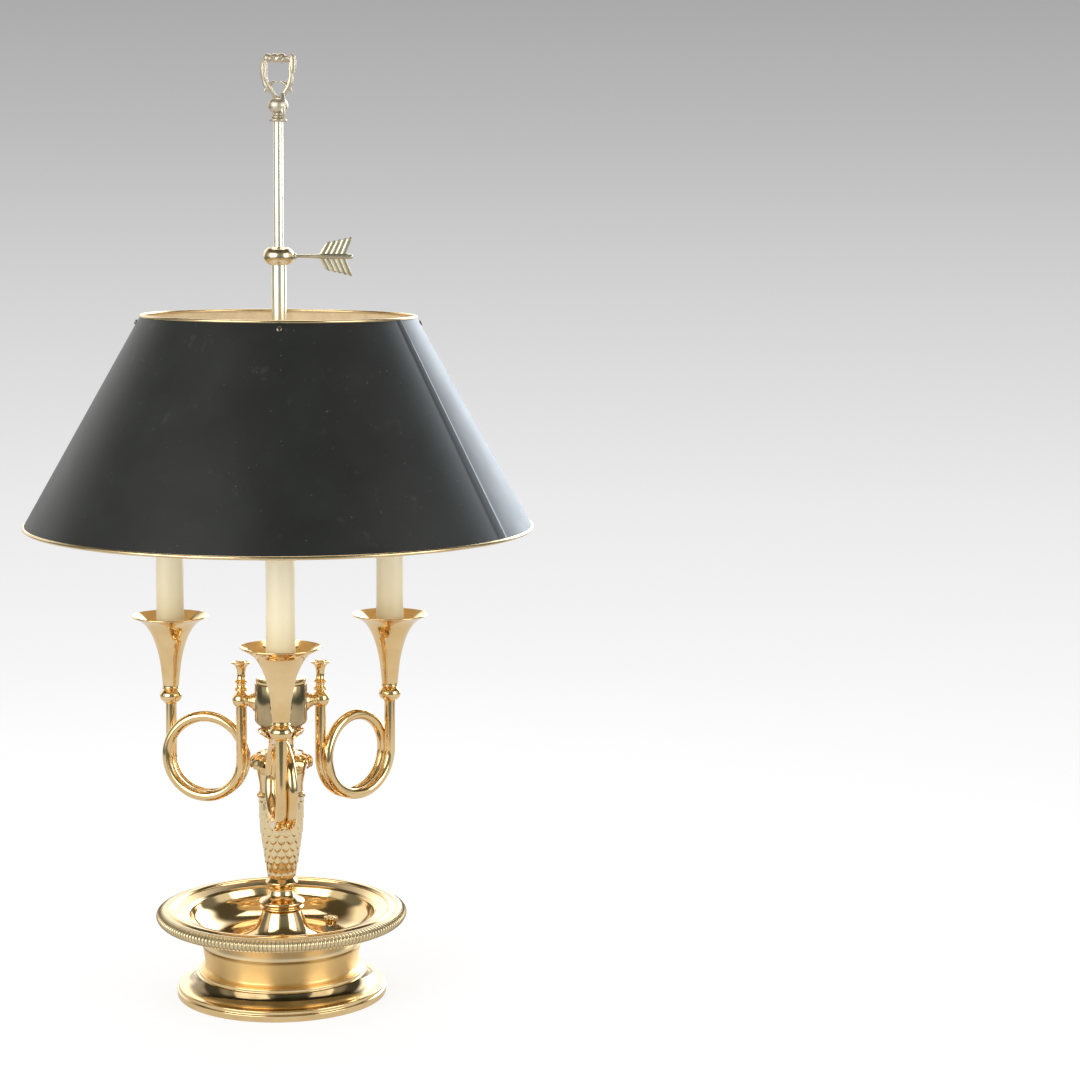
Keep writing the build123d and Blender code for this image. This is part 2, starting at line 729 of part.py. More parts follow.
with BuildPart() as top_collar:
    with BuildSketch(Plane.XZ):
        with BuildLine():
            Line((0, rod_top_z), (top_collar_radius - 1.2, rod_top_z))
            ThreePointArc(
                (top_collar_radius - 1.2, rod_top_z),
                (top_collar_radius, rod_top_z + 1.5),
                (top_collar_radius - 1.2, rod_top_z + 3.0),
            )
            Polyline(
                (top_collar_radius - 1.2, rod_top_z + 3.0),
                (top_collar_radius - 2.2, rod_top_z + 3.4),
                (top_collar_radius - 2.2, rod_top_z + top_collar_height - 1.0),
                (rod_radius - 0.6, rod_top_z + top_collar_height),
                (0, rod_top_z + top_collar_height),
                (0, rod_top_z),
            )
        make_face()
    revolve(axis=Axis.Z)
    with BuildSketch(Plane.XY.offset(rod_top_z)):
        Circle(rod_radius + fit_gap)
    extrude(amount=top_collar_height - rod_tenon, mode=Mode.SUBTRACT)
keep(top_collar, "top_collar")

ring_mid_z = handle_ball_z + handle_ball_radius + handle_ring_height / 2 + handle_ring_lift
ring_path_radius = handle_ring_width / 2 - handle_ring_section
ring_side = (handle_ring_height - handle_ring_width) / 2
handle_neck_radius = handle_ring_section - 0.4
handle_foot_z = rod_top_z + top_collar_height
handle_foot_radius = rod_radius - 0.6
with BuildPart() as ring_handle:
    with BuildSketch(Plane.XZ):
        with BuildLine():
            Polyline(
                (0, handle_foot_z),
                (handle_foot_radius, handle_foot_z),
                (handle_foot_radius, handle_ball_z - handle_ball_radius * 0.8),
            )
            ThreePointArc(
                (handle_foot_radius, handle_ball_z - handle_ball_radius * 0.8),
                (handle_ball_radius, handle_ball_z),
                (handle_neck_radius, handle_ball_z + handle_ball_radius * 0.9),
            )
            Polyline(
                (handle_neck_radius, handle_ball_z + handle_ball_radius * 0.9),
                (handle_neck_radius, ring_mid_z - ring_side - ring_path_radius),
                (0, ring_mid_z - ring_side - ring_path_radius),
                (0, handle_foot_z),
            )
        make_face()
    revolve(axis=Axis.Z)
    with BuildLine(Plane.XZ) as ring_path:
        Line((ring_path_radius, ring_mid_z - ring_side), (ring_path_radius, ring_mid_z + ring_side))
        ThreePointArc(
            (ring_path_radius, ring_mid_z + ring_side),
            (0, ring_mid_z + ring_side + ring_path_radius),
            (-ring_path_radius, ring_mid_z + ring_side),
        )
        Line((-ring_path_radius, ring_mid_z + ring_side), (-ring_path_radius, ring_mid_z - ring_side))
        ThreePointArc(
            (-ring_path_radius, ring_mid_z - ring_side),
            (0, ring_mid_z - ring_side - ring_path_radius),
            (ring_path_radius, ring_mid_z - ring_side),
        )
    with BuildSketch(Plane.XY.offset(ring_mid_z - ring_side)):
        with Locations((ring_path_radius, 0)):
            Circle(handle_ring_section)
    sweep(path=ring_path.line)
keep(ring_handle, "ring_handle")


# --- arms: each a joint ball, a valve finial, a looped tube, a ball, a bell, a socket and a candle --------
def arm_joint(azimuth):
    """Ball with a flared neck that screws into the cluster along the azimuth."""
    radial = upright_plane(azimuth)
    ball = upright_plane(azimuth, arm_inner_radius).origin
    neck_end = arm_inner_radius - joint_ball_radius * 0.75
    with BuildPart() as joint:
        with BuildSketch(radial):
            with BuildLine():
                Polyline(
                    (cluster_radius - 3.0, joint_z),
                    (cluster_radius - 3.0, joint_z + joint_flange_radius),
                    (cluster_radius + 1.4, joint_z + joint_flange_radius),
                )
                ThreePointArc(
                    (cluster_radius + 1.4, joint_z + joint_flange_radius),
                    (cluster_radius + 3.4, joint_z + joint_neck_radius + 1.1),
                    (neck_end - 2.0, joint_z + joint_neck_radius),
                )
                Polyline(
                    (neck_end - 2.0, joint_z + joint_neck_radius),
                    (neck_end, joint_z + joint_neck_radius),
                    (neck_end, joint_z),
                    (cluster_radius - 3.0, joint_z),
                )
            make_face()
        revolve(axis=Axis((0, 0, joint_z), radial.x_dir))
        with BuildSketch(Plane.XY.offset(joint_z - joint_flange_radius * 1.5)):
            Circle(cluster_radius + fit_gap)
        extrude(amount=joint_flange_radius * 3, mode=Mode.SUBTRACT)
        with BuildSketch(Plane(origin=(0, 0, joint_z), z_dir=radial.x_dir).offset(cluster_radius - 3.8)):
            Circle(arm_tube_radius)
        extrude(amount=6.0)
        with Locations((ball.X, ball.Y, joint_z)):
            Sphere(joint_ball_radius)
        with BuildSketch(Plane(origin=(ball.X, ball.Y, joint_z - 3.0))):
            Circle(arm_tube_radius + fit_gap)
        extrude(amount=-joint_ball_radius, mode=Mode.SUBTRACT)
        with BuildSketch(Plane(origin=(ball.X, ball.Y, finial_stem_z))):
            Circle(finial_stem_radius + fit_gap)
        extrude(amount=joint_ball_radius, mode=Mode.SUBTRACT)
    return joint


def arm_finial(azimuth):
    """Turned finial like a horn's valve: two rings, a waist and a flared cup, on a stem in the joint ball."""
    with BuildPart() as finial:
        with BuildSketch(upright_plane(azimuth, arm_inner_radius)):
            with BuildLine():
                Polyline(
                    (0, finial_stem_z),
                    (finial_stem_radius, finial_stem_z),
                    (finial_stem_radius, finial_z),
                    (finial_ring_radius - 2.2, finial_z),
                    (finial_ring_radius - 0.5, finial_z + 1.4),
                    (finial_ring_radius - 0.5, finial_z + 2.6),
                )
                ThreePointArc(
                    (finial_ring_radius - 0.5, finial_z + 2.6),
                    (finial_neck_radius + 0.5, finial_z + 4.6),
                    (finial_neck_radius + 0.6, finial_z + 6.0),
                )
                Polyline(
                    (finial_neck_radius + 0.6, finial_z + 6.0),
                    (finial_ring_radius, finial_z + 8.2),
                    (finial_ring_radius, finial_z + 9.0),
                    (finial_neck_radius + 0.4, finial_z + 11.0),
                )
                Spline(
                    (finial_neck_radius + 0.4, finial_z + 11.0),
                    (finial_neck_radius, finial_z + 15.5),
                    (finial_neck_radius + 1.4, finial_z + 20.5),
                    (finial_cup_radius, finial_z + finial_height - 2.4),
                )
                Polyline(
                    (finial_cup_radius, finial_z + finial_height - 2.4),
                    (finial_cup_radius, finial_z + finial_height - 1.4),
                    (finial_cup_radius - 1.4, finial_z + finial_height),
                    (finial_cup_radius - 2.6, finial_z + finial_height - 0.6),
                    (0, finial_z + finial_height - 1.4),
                    (0, finial_stem_z),
                )
            make_face()
        revolve(axis=upright_axis(azimuth, arm_inner_radius))
    return finial


def arm_tube(azimuth):
    """Tube that drops from the joint ball, makes a turn and a half sideways and rises into the cup's ball."""
    twist = radians(azimuth) + atan2(arm_loop_advance, 2 * arm_loop_radius)
    start = upright_plane(azimuth, arm_inner_radius).origin
    centre = start + Vector(cos(twist), sin(twist), 0) * arm_loop_radius
    corner_radius = arm_loop_radius / cos(pi / arm_loop_corners)
    corner_count = arm_loop_corners * 3 // 2
    points = [(start.X, start.Y, joint_z - 3.0)]
    for k in range(corner_count):
        turn = (k + 0.5) * 2 * pi / arm_loop_corners
        outward = -cos(turn) * corner_radius
        aside = arm_loop_advance * k / (corner_count - 1)
        points.append(
            (
                centre.X + outward * cos(twist) + aside * sin(twist),
                centre.Y + outward * sin(twist) - aside * cos(twist),
                loop_z - corner_radius * sin(turn),
            )
        )
    top = upright_plane(azimuth, arm_outer_radius).origin
    points.append((top.X, top.Y, cup_z - cup_ball_height + 3.0))
    with BuildPart() as tube:
        with BuildLine() as path:
            FilletPolyline(*points, radius=arm_loop_radius * 0.97)
        with BuildSketch(Plane(origin=path.line @ 0, z_dir=path.line % 0)):
            Circle(arm_tube_radius)
            Circle(arm_tube_radius - arm_tube_wall, mode=Mode.SUBTRACT)
        sweep(path=path.line)
    return tube


def cup_ball(azimuth):
    """Flattened ball between the tube and the bell."""
    ball_z = cup_z - cup_ball_height
    with BuildPart() as ball:
        with BuildSketch(upright_plane(azimuth, arm_outer_radius)):
            with BuildLine():
                Line((arm_tube_radius + fit_gap, ball_z), (arm_tube_radius + 1.6, ball_z))
                ThreePointArc(
                    (arm_tube_radius + 1.6, ball_z),
                    (cup_ball_radius, ball_z + cup_ball_height / 2),
                    (arm_tube_radius + 1.6, cup_z),
                )
                Polyline(
                    (arm_tube_radius + 1.6, cup_z),
                    (nipple_radius + fit_gap, cup_z),
                    (nipple_radius + fit_gap, ball_z + 3.2),
                    (arm_tube_radius + fit_gap, ball_z + 3.2),
                    (arm_tube_radius + fit_gap, ball_z),
                )
            make_face()
        revolve(axis=upright_axis(azimuth, arm_outer_radius))
    return ball


def bell_outline(inset):
    """Points of the bell's flare from the bottom to the rim, moved in by an inset."""
    return [
        (cup_foot_radius - inset, cup_z + inset * 0.5),
        (cup_foot_radius + 1.2 - inset, cup_z + cup_height * 0.22),
        (cup_foot_radius + 3.4 - inset, cup_z + cup_height * 0.46),
        (cup_foot_radius + 7.5 - inset, cup_z + cup_height * 0.68),
        (cup_foot_radius + 12.4 - inset, cup_z + cup_height * 0.82),
        (cup_rim_radius - inset, cup_rim_z - 1.4 + inset * 0.4),
    ]


def bell_cup(azimuth):
    """Spun horn bell with a rolled rim, open at the top and bored at the bottom for the socket's nipple."""
    outer = bell_outline(0)
    inner = bell_outline(cup_wall)
    with BuildPart() as bell:
        with BuildSketch(upright_plane(azimuth, arm_outer_radius)):
            with BuildLine():
                Line((nipple_radius + fit_gap, cup_z), outer[0])
                Spline(*outer)
                Polyline(outer[-1], (cup_rim_radius, cup_rim_z), (cup_rim_radius - 1.0, cup_rim_z), inner[-1])
                Spline(*inner[::-1])
                Polyline(
                    inner[0],
                    (nipple_radius + fit_gap, inner[0][1]),
                    (nipple_radius + fit_gap, cup_z),
                )
            make_face()
        revolve(axis=upright_axis(azimuth, arm_outer_radius))
    return bell


def lamp_socket(azimuth):
    """Candelabra socket: a cylinder with a blind bore for the bulb's cap, on the nipple."""
    spot = upright_plane(azimuth, arm_outer_radius).origin
    with BuildPart() as socket:
        with BuildSketch(Plane(origin=(spot.X, spot.Y, socket_z))):
            Circle(socket_radius)
        extrude(amount=socket_length)
        with BuildSketch(Plane(origin=(spot.X, spot.Y, socket_top_z))):
            Circle(socket_bore_radius)
        extrude(amount=-socket_bore_depth, mode=Mode.SUBTRACT)
        with BuildSketch(Plane(origin=(spot.X, spot.Y, socket_z))):
            Circle(nipple_radius + fit_gap)
        extrude(amount=nipple_engagement, mode=Mode.SUBTRACT)
    return socket


def socket_nipple(azimuth):
    """Threaded pipe from the ball up to the socket, inside the bell and the candle cover."""
    spot = upright_plane(azimuth, arm_outer_radius).origin
    bottom_z = cup_z - cup_ball_height + 3.2
    with BuildPart() as nipple:
        with BuildSketch(Plane(origin=(spot.X, spot.Y, bottom_z))):
            Circle(nipple_radius)
            Circle(nipple_radius - 1.2, mode=Mode.SUBTRACT)
        extrude(amount=socket_z + nipple_engagement - bottom_z)
    return nipple


def candle_cover(azimuth):
    """Candle sleeve, a little wider at its foot, standing in the throat of the bell."""
    inner = candle_radius - candle_wall
    with BuildPart() as candle:
        with BuildSketch(upright_plane(azimuth, arm_outer_radius)):
            with BuildLine():
                Polyline(
                    (inner, candle_z),
                    (candle_radius + 0.5, candle_z),
                    (candle_radius, candle_z + candle_taper),
                    (candle_radius, candle_top_z - 0.6),
                    (candle_radius - 0.3, candle_top_z),
                    (inner, candle_top_z),
                    close=True,
                )
            make_face()
        revolve(axis=upright_axis(azimuth, arm_outer_radius))
    return candle


arm_pieces = {
    "arm_joint": arm_joint,
    "arm_finial": arm_finial,
    "arm_tube": arm_tube,
    "cup_ball": cup_ball,
    "bell_cup": bell_cup,
    "lamp_socket": lamp_socket,
    "socket_nipple": socket_nipple,
    "candle_cover": candle_cover,
}
for side, azimuth in arm_azimuths.items():
    for piece, build_piece in arm_pieces.items():
        keep(build_piece(azimuth), f"{piece}_{side}")

# --- sliding carriage: sleeve on the rod, clamp collar, and the nuts that hold the shade's hub -----------
with BuildPart() as slide_sleeve:
    with BuildSketch(Plane.XY.offset(sleeve_z)):
        Circle(sleeve_radius)
        Circle(rod_bore_radius, mode=Mode.SUBTRACT)
    extrude(amount=sleeve_top_z - sleeve_z)
keep(slide_sleeve, "slide_sleeve")

with BuildPart() as clamp_collar:
    with BuildSketch(Plane.XZ):
        with BuildLine():
            Line((rod_bore_radius, collar_z), (collar_face_radius, collar_z))
            ThreePointArc(
                (collar_face_radius, collar_z),
                (collar_radius, collar_mid_z),
                (collar_face_radius, collar_z + collar_height),
            )
            Polyline(
                (collar_face_radius, collar_z + collar_height),
                (rod_bore_radius, collar_z + collar_height),
                (rod_bore_radius, collar_z),
            )
        make_face()
    revolve(axis=Axis.Z)
    with BuildSketch(Plane.XY.offset(collar_z)):
        Circle(sleeve_radius + fit_gap)
    extrude(amount=sleeve_top_z - collar_z, mode=Mode.SUBTRACT)
    with BuildSketch(Plane.YZ):
        with Locations((0, collar_mid_z)):
            Circle(key_screw_radius + running_gap)
    extrude(amount=collar_radius * 2, mode=Mode.SUBTRACT)
keep(clamp_collar, "clamp_collar")

with BuildPart() as hub_nuts:
    for hub_nut_z in (hub_top_z + free_gap, hub_z - free_gap - hub_nut_height):
        with BuildSketch(Plane.XY.offset(hub_nut_z)):
            Circle(hub_nut_radius)
            Circle(sleeve_radius + fit_gap, mode=Mode.SUBTRACT)
        extrude(amount=hub_nut_height)
keep(hub_nuts, "hub_nuts")

# --- shade: spider with four bars, sheet with a lapped seam, wired edges and screws ----------------------
bar_z = hub_top_z - spider_bar_thickness
screw_z = shade_top_z - shade_screw_drop
tab_inset = 0.25
tab_thickness = 1.6
tab_height = 9.0
spider_azimuths = [k * 360.0 / spider_arm_count for k in range(spider_arm_count)]


def wall_plane(azimuth, inset):
    """A plane on the shade's sheet at the screws, facing outward, moved in by an inset."""
    radial = upright_plane(azimuth, shade_radius(screw_z))
    outward = radial.x_dir * cos(shade_slope) + Vector(0, 0, 1) * sin(shade_slope)
    spot = Vector(radial.origin.X, radial.origin.Y, screw_z) - outward * inset
    return Plane(origin=spot, x_dir=radial.z_dir, z_dir=outward)


with BuildPart() as shade_spider:
    with BuildSketch(Plane.XY.offset(hub_z)):
        Circle(spider_hub_radius)
    extrude(amount=spider_hub_height)
    bar_reach = shade_radius(bar_z) - shade_sheet / 2 - tab_inset - tab_thickness
    with BuildSketch(Plane.XY.offset(bar_z)):
        with PolarLocations(0, spider_arm_count):
            Rectangle(bar_reach, spider_bar_width, align=(Align.MIN, Align.CENTER))
    extrude(amount=spider_bar_thickness)
    for azimuth in spider_azimuths:
        with BuildSketch(wall_plane(azimuth, shade_sheet / 2 + tab_inset)):
            Rectangle(spider_bar_width + 2.0, tab_height)
        extrude(amount=-tab_thickness)
        with BuildSketch(wall_plane(azimuth, 0)):
            Circle(shade_screw_radius + fit_gap)
        extrude(amount=-5.0, mode=Mode.SUBTRACT)
    with BuildSketch(Plane.XY.offset(hub_z)):
        Circle(sleeve_radius + running_gap)
    extrude(amount=spider_hub_height, mode=Mode.SUBTRACT)
keep(shade_spider, "shade_spider")

with BuildPart() as shade_shell:
    with BuildSketch(Plane.XZ):
        with BuildLine():
            Polyline(
                (shade_bottom_radius - shade_sheet / 2, shade_bottom_z),
                (shade_bottom_radius + shade_sheet / 2, shade_bottom_z),
                (shade_top_radius + shade_sheet / 2, shade_top_z),
                (shade_top_radius - shade_sheet / 2, shade_top_z),
                close=True,
            )
        make_face()
    revolve(axis=Axis.Z)
    seam_low_z = shade_bottom_z + shade_bottom_wire + 1.0
    seam_high_z = shade_top_z - shade_top_wire - 1.0
    with BuildSketch(upright_plane(seam_azimuth)):
        with BuildLine():
            Polyline(
                (shade_radius(seam_low_z), seam_low_z),
                (shade_radius(seam_low_z) + shade_sheet / 2 + seam_thickness, seam_low_z),
                (shade_radius(seam_high_z) + shade_sheet / 2 + seam_thickness, seam_high_z),
                (shade_radius(seam_high_z), seam_high_z),
                close=True,
            )
        make_face()
    revolve(axis=Axis.Z, revolution_arc=seam_degrees)
    with BuildSketch(Plane.XZ):
        with Locations((shade_bottom_radius, shade_bottom_z)):
            Circle(shade_bottom_wire + fit_gap)
        with Locations((shade_top_radius, shade_top_z)):
            Circle(shade_top_wire + fit_gap)
    revolve(axis=Axis.Z, mode=Mode.SUBTRACT)
    for azimuth in spider_azimuths:
        with BuildSketch(wall_plane(azimuth, 0)):
            Circle(shade_screw_radius + fit_gap)
        extrude(amount=3.0, both=True, mode=Mode.SUBTRACT)
keep(shade_shell, "shade_shell")

with BuildPart() as shade_rim_bottom:
    with BuildSketch(Plane.XZ):
        with Locations((shade_bottom_radius, shade_bottom_z)):
            Circle(shade_bottom_wire)
    revolve(axis=Axis.Z)
keep(shade_rim_bottom, "shade_rim_bottom")

with BuildPart() as shade_rim_top:
    with BuildSketch(Plane.XZ):
        with Locations((shade_top_radius, shade_top_z)):
            Circle(shade_top_wire)
    revolve(axis=Axis.Z)
keep(shade_rim_top, "shade_rim_top")

with BuildPart() as shade_screws:
    for azimuth in spider_azimuths:
        with BuildSketch(wall_plane(azimuth, 3.6)):
            Circle(shade_screw_radius)
        extrude(amount=3.6 + shade_sheet / 2 + 0.4)
        with BuildSketch(wall_plane(azimuth, -(shade_sheet / 2 + 0.1))):
            Circle(shade_screw_head)
        extrude(amount=1.5, taper=25)
keep(shade_screws, "shade_screws")

# --- arrow key that clamps the slide: a screw, a stem and a flight with two ribbed vanes ------------------
key_z = collar_mid_z
key_root_x = collar_radius + free_gap
key_tip_x = key_root_x + key_length
vane_root_x = key_tip_x - key_vane_length - 3.5
with BuildPart() as key_screw:
    with BuildSketch(Plane.YZ.offset(rod_radius + free_gap)):
        with Locations((0, key_z)):
            Circle(key_screw_radius)
    extrude(amount=key_root_x - rod_radius - free_gap)
keep(key_screw, "key_screw")

with BuildPart() as arrow_key:
    with BuildSketch(Plane.XZ):
        with BuildLine():
            Polyline(
                (key_root_x, key_z),
                (key_root_x, key_z + key_stem_radius),
                (vane_root_x - 4.0, key_z + key_stem_radius),
                (vane_root_x + 1.0, key_z + key_shaft_radius),
                (key_tip_x - 1.2, key_z + key_shaft_radius),
                (key_tip_x, key_z + key_shaft_radius - 1.2),
                (key_tip_x, key_z),
                close=True,
            )
        make_face()
    revolve(axis=Axis((0, 0, key_z), (1, 0, 0)))
    vane_tip_x = vane_root_x + key_vane_length
    for side in (1, -1):
        with BuildSketch(Plane.XZ.offset(-key_vane_thickness / 2)):
            with BuildLine():
                Polyline(
                    (vane_root_x, key_z + side * 0.5),
                    (vane_root_x + key_vane_sweep, key_z + side * key_vane_height),
                    (vane_tip_x + key_vane_sweep + 1.0, key_z + side * key_vane_height),
                    (vane_tip_x, key_z + side * 4.0),
                    (vane_tip_x, key_z + side * 0.5),
                    close=True,
                )
            make_face()
        extrude(amount=key_vane_thickness)
    rib_pitch = key_vane_length / key_rib_count
    for face in (1, -1):
        with BuildSketch(Plane.XZ.offset(face * (key_vane_thickness / 2 - 0.35))):
            for side in (1, -1):
                for k in range(1, key_rib_count):
                    foot_x = vane_root_x + k * rib_pitch
                    with BuildLine():
                        Polyline(
                            (foot_x - 0.4, key_z + side * 4.5),
                            (foot_x + 0.4, key_z + side * 4.5),
                            (foot_x + 0.4 + key_vane_sweep, key_z + side * (key_vane_height + 1)),
                            (foot_x - 0.4 + key_vane_sweep, key_z + side * (key_vane_height + 1)),
                            close=True,
                        )
                    make_face()
        extrude(amount=face * 1.0, mode=Mode.SUBTRACT)
keep(arrow_key, "arrow_key")
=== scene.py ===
import json
from math import atan, atan2, ceil, cos, floor, pi, radians, sin, sqrt, tan

import bmesh
import bpy
from mathutils import Matrix, Vector


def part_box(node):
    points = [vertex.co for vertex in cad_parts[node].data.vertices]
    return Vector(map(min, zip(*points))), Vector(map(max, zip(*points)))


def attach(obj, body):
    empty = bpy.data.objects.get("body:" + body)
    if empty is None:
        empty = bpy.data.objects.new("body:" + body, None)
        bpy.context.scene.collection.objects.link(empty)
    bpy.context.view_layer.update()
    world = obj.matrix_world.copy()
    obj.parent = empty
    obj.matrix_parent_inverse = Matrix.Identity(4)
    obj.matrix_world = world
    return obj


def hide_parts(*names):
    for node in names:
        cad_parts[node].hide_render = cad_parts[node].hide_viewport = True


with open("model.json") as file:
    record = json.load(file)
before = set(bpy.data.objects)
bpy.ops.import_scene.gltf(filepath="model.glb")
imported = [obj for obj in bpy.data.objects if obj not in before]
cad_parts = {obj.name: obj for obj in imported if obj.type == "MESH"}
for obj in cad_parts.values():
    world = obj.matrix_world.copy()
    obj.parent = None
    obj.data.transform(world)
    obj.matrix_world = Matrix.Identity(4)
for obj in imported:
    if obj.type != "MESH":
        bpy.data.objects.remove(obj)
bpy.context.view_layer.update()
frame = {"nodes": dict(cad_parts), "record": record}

# A bouillotte lamp. Outlines and paths are in millimetres in the frame's own axes, and become metres in
# the mesh. Levels and radii come from the boxes of the CAD nodes, so every piece sits where its node is.

MM = 0.001
FULL_TURN = 2 * pi
QUARTER = 0.41          # bulge of a quarter round
BORE = 5.0              # radius at which turned parts stop, round the hidden stud
SIDES = ("front", "left", "right")
NODE_BODY = {
    node: body for body, nodes in frame["record"]["behaviour"]["bodies"].items() for node in nodes
}
NODE_SLOT = {part["node"]: part["material_slot"] for part in frame["record"]["subparts"]}


# --- places read from the frame ---
def low(node):
    """Lowest level of a node, in millimetres."""
    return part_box(node)[0][2] / MM


def high(node):
    """Highest level of a node, in millimetres."""
    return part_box(node)[1][2] / MM


def reach(node):
    """Half the width of a round node, in millimetres."""
    lowest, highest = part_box(node)
    return (highest[0] - lowest[0]) / 2 / MM


def middle(node):
    """Middle of a node's box seen from above, in millimetres."""
    lowest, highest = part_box(node)
    return Vector(((lowest[0] + highest[0]) / 2 / MM, (lowest[1] + highest[1]) / 2 / MM, 0))


# --- outlines and meshes ---
class Outline:
    """A turned profile of (radius, height) points, each measured from a base radius and a level."""

    def __init__(self, radius, height, level=0.0, base=0.0):
        self.at(level, base)
        self.points = [self.spot((radius, height))]

    def at(self, level, base=0.0):
        """Measures the points that follow from this level and base radius."""
        self.level = level
        self.base = base
        return self

    def spot(self, point):
        return self.base + point[0], self.level + point[1]

    def to(self, *points):
        """Straight runs through the points."""
        self.points += [self.spot(point) for point in points]
        return self

    def arc(self, end, bulge, steps=8):
        """A circular arc. Its bulge is the tangent of a quarter of its angle, positive on the right."""
        start = Vector(self.points[-1])
        angle = 4 * atan(bulge)
        chord = Vector(self.spot(end)) - start
        centre = start + chord / 2 + Vector((-chord.y, chord.x)) / (2 * tan(angle / 2))
        spoke = start - centre
        for k in range(1, steps + 1):
            turn = angle * k / steps
            x = spoke.x * cos(turn) - spoke.y * sin(turn)
            y = spoke.x * sin(turn) + spoke.y * cos(turn)
            self.points.append((centre.x + x, centre.y + y))
        return self

    def curve(self, *points, steps=4):
        """A smooth curve through the last point and the given ones."""
        way = smooth_path([self.points[-1], *[self.spot(point) for point in points]], steps)
        self.points += [tuple(point) for point in way[1:]]
        return self


def smooth_path(points, steps):
    """Catmull-Rom points through the given ones, with steps points to a span."""
    knots = [Vector(point) for point in points]
    knots = [2 * knots[0] - knots[1], *knots, 2 * knots[-1] - knots[-2]]
    way = [knots[1]]
    for a, b, c, d in zip(knots, knots[1:], knots[2:], knots[3:]):
        for k in range(1, steps + 1):
            t = k / steps
            way.append(0.5 * (
                2 * b + (c - a) * t + (2 * a - 5 * b + 4 * c - d) * t * t + (3 * b - a - 3 * c + d) * t**3
            ))
    return way


def mesh_of(points, faces):
    """A mesh in metres from points in millimetres, with its normals turned outward."""
    form = bmesh.new()
    made = [form.verts.new(Vector(point) * MM) for point in points]
    for face in faces:
        form.faces.new([made[index] for index in face])
    bmesh.ops.remove_doubles(form, verts=form.verts, dist=1e-7)
    bmesh.ops.recalc_face_normals(form, faces=form.faces)
    mesh = bpy.data.meshes.new("mesh")
    form.to_mesh(mesh)
    form.free()
    return mesh


def turned(outline, steps=128, centre=(0, 0, 0), closed=False, relief=None):
    """A form turned about the upright at centre. relief(angle, height, place) moves its surface out."""
    profile = [Vector(point) for point in outline.points]
    count = len(profile)
    points = []
    for i, point in enumerate(profile):
        before = profile[i - 1 if i or closed else i]
        after = profile[(i + 1) % count if i + 1 < count or closed else i]
        along = (after - before).normalized()
        for k in range(steps):
            angle = FULL_TURN * k / steps
            push = relief(angle, point.y, i / (count - 1)) if relief else 0.0
            radius = max(point.x + along.y * push, 0.0)
            height = point.y - along.x * push
            x, y = centre[0] + radius * cos(angle), centre[1] + radius * sin(angle)
            points.append((x, y, height))
    faces = []
    for i in range(count if closed else count - 1):
        j = (i + 1) % count
        for k in range(steps):
            n = (k + 1) % steps
            corners = (i * steps + k, i * steps + n, j * steps + n, j * steps + k)
            if profile[i].x < 1e-6:
                corners = (corners[0], corners[2], corners[3])
            elif profile[j].x < 1e-6:
                corners = (corners[0], corners[1], corners[2])
            faces.append(corners)
    for i in (0, count - 1):
        if not closed and profile[i].x > 1e-6:
            faces.append(tuple(range(i * steps, (i + 1) * steps)))
    return mesh_of(points, faces)


def tube(path, thickness, sides, flat=1.0, upright=None, relief=None):
    """A rod of radius thickness(place) along a path; flat squeezes the axis that starts as upright."""
    path = [Vector(point) for point in path]
    last = len(path) - 1
    heading = (path[1] - path[0]).normalized()
    first = Vector(upright) if upright else heading.orthogonal()
    first = (first - heading * first.dot(heading)).normalized()
    points = []
    for i, spot in enumerate(path):
        ahead = (path[min(i + 1, last)] - path[max(i - 1, 0)]).normalized()
        first = heading.rotation_difference(ahead) @ first
        first = (first - ahead * first.dot(ahead)).normalized()
        second = ahead.cross(first)
        heading = ahead
        for k in range(sides):
            angle = FULL_TURN * k / sides
            radius = thickness(i / last) + (relief(angle, i / last) if relief else 0.0)
            squeezed = first * (cos(angle) * radius * flat)
            points.append(spot + squeezed + second * (sin(angle) * radius))
    faces = [
        (i * sides + k, i * sides + (k + 1) % sides, (i + 1) * sides + (k + 1) % sides, (i + 1) * sides + k)
        for i in range(last)
        for k in range(sides)
    ]
    faces += [tuple(range(sides)), tuple(range(last * sides, (last + 1) * sides))]
    return mesh_of(points, faces)


def plate(points, rows, columns):
    """A closed plate from two grids of points, its front and then its back, joined along their edges."""
    sheet = rows * columns
    faces = [
        (a, a + 1, a + 1 + columns, a + columns)
        for start in (0, sheet)
        for i in range(rows - 1)
        for a in range(start + i * columns, start + (i + 1) * columns - 1)
    ]
    for i in range(rows - 1):
        for a in (i * columns, (i + 1) * columns - 1):
            faces.append((a, a + columns, a + columns + sheet, a + sheet))
    for k in range(columns - 1):
        for a in (k, (rows - 1) * columns + k):
            faces.append((a, a + 1, a + 1 + sheet, a + sheet))
    return mesh_of(points, faces)


def joined(*meshes):
    """One mesh of several separate bodies."""
    form = bmesh.new()
    for mesh in meshes:
        form.from_mesh(mesh)
        bpy.data.meshes.remove(mesh)
    whole = bpy.data.meshes.new("mesh")
    form.to_mesh(whole)
    form.free()
    return whole


def moved(mesh, matrix):
    """The mesh after a change of place, in metres."""
    mesh.transform(matrix)
    return mesh


def new_object(name, data):
    """A new object in the scene."""
    thing = bpy.data.objects.new(name, data)
    bpy.context.scene.collection.objects.link(thing)
    return thing


def piece(name, mesh, node, finish=None, slot=None, sharp=38):
    """Puts a mesh in the scene: it stands for the node, rides on its body and takes its slot's finish."""
    slot = slot or NODE_SLOT[node]
    mesh.name = name
    thing = new_object(name, mesh)
    mesh.materials.append(finish or FINISHES[slot])
    mesh.shade_smooth()
    mesh.set_sharp_from_angle(angle=radians(sharp))
    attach(thing, NODE_BODY[node])
    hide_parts(node)


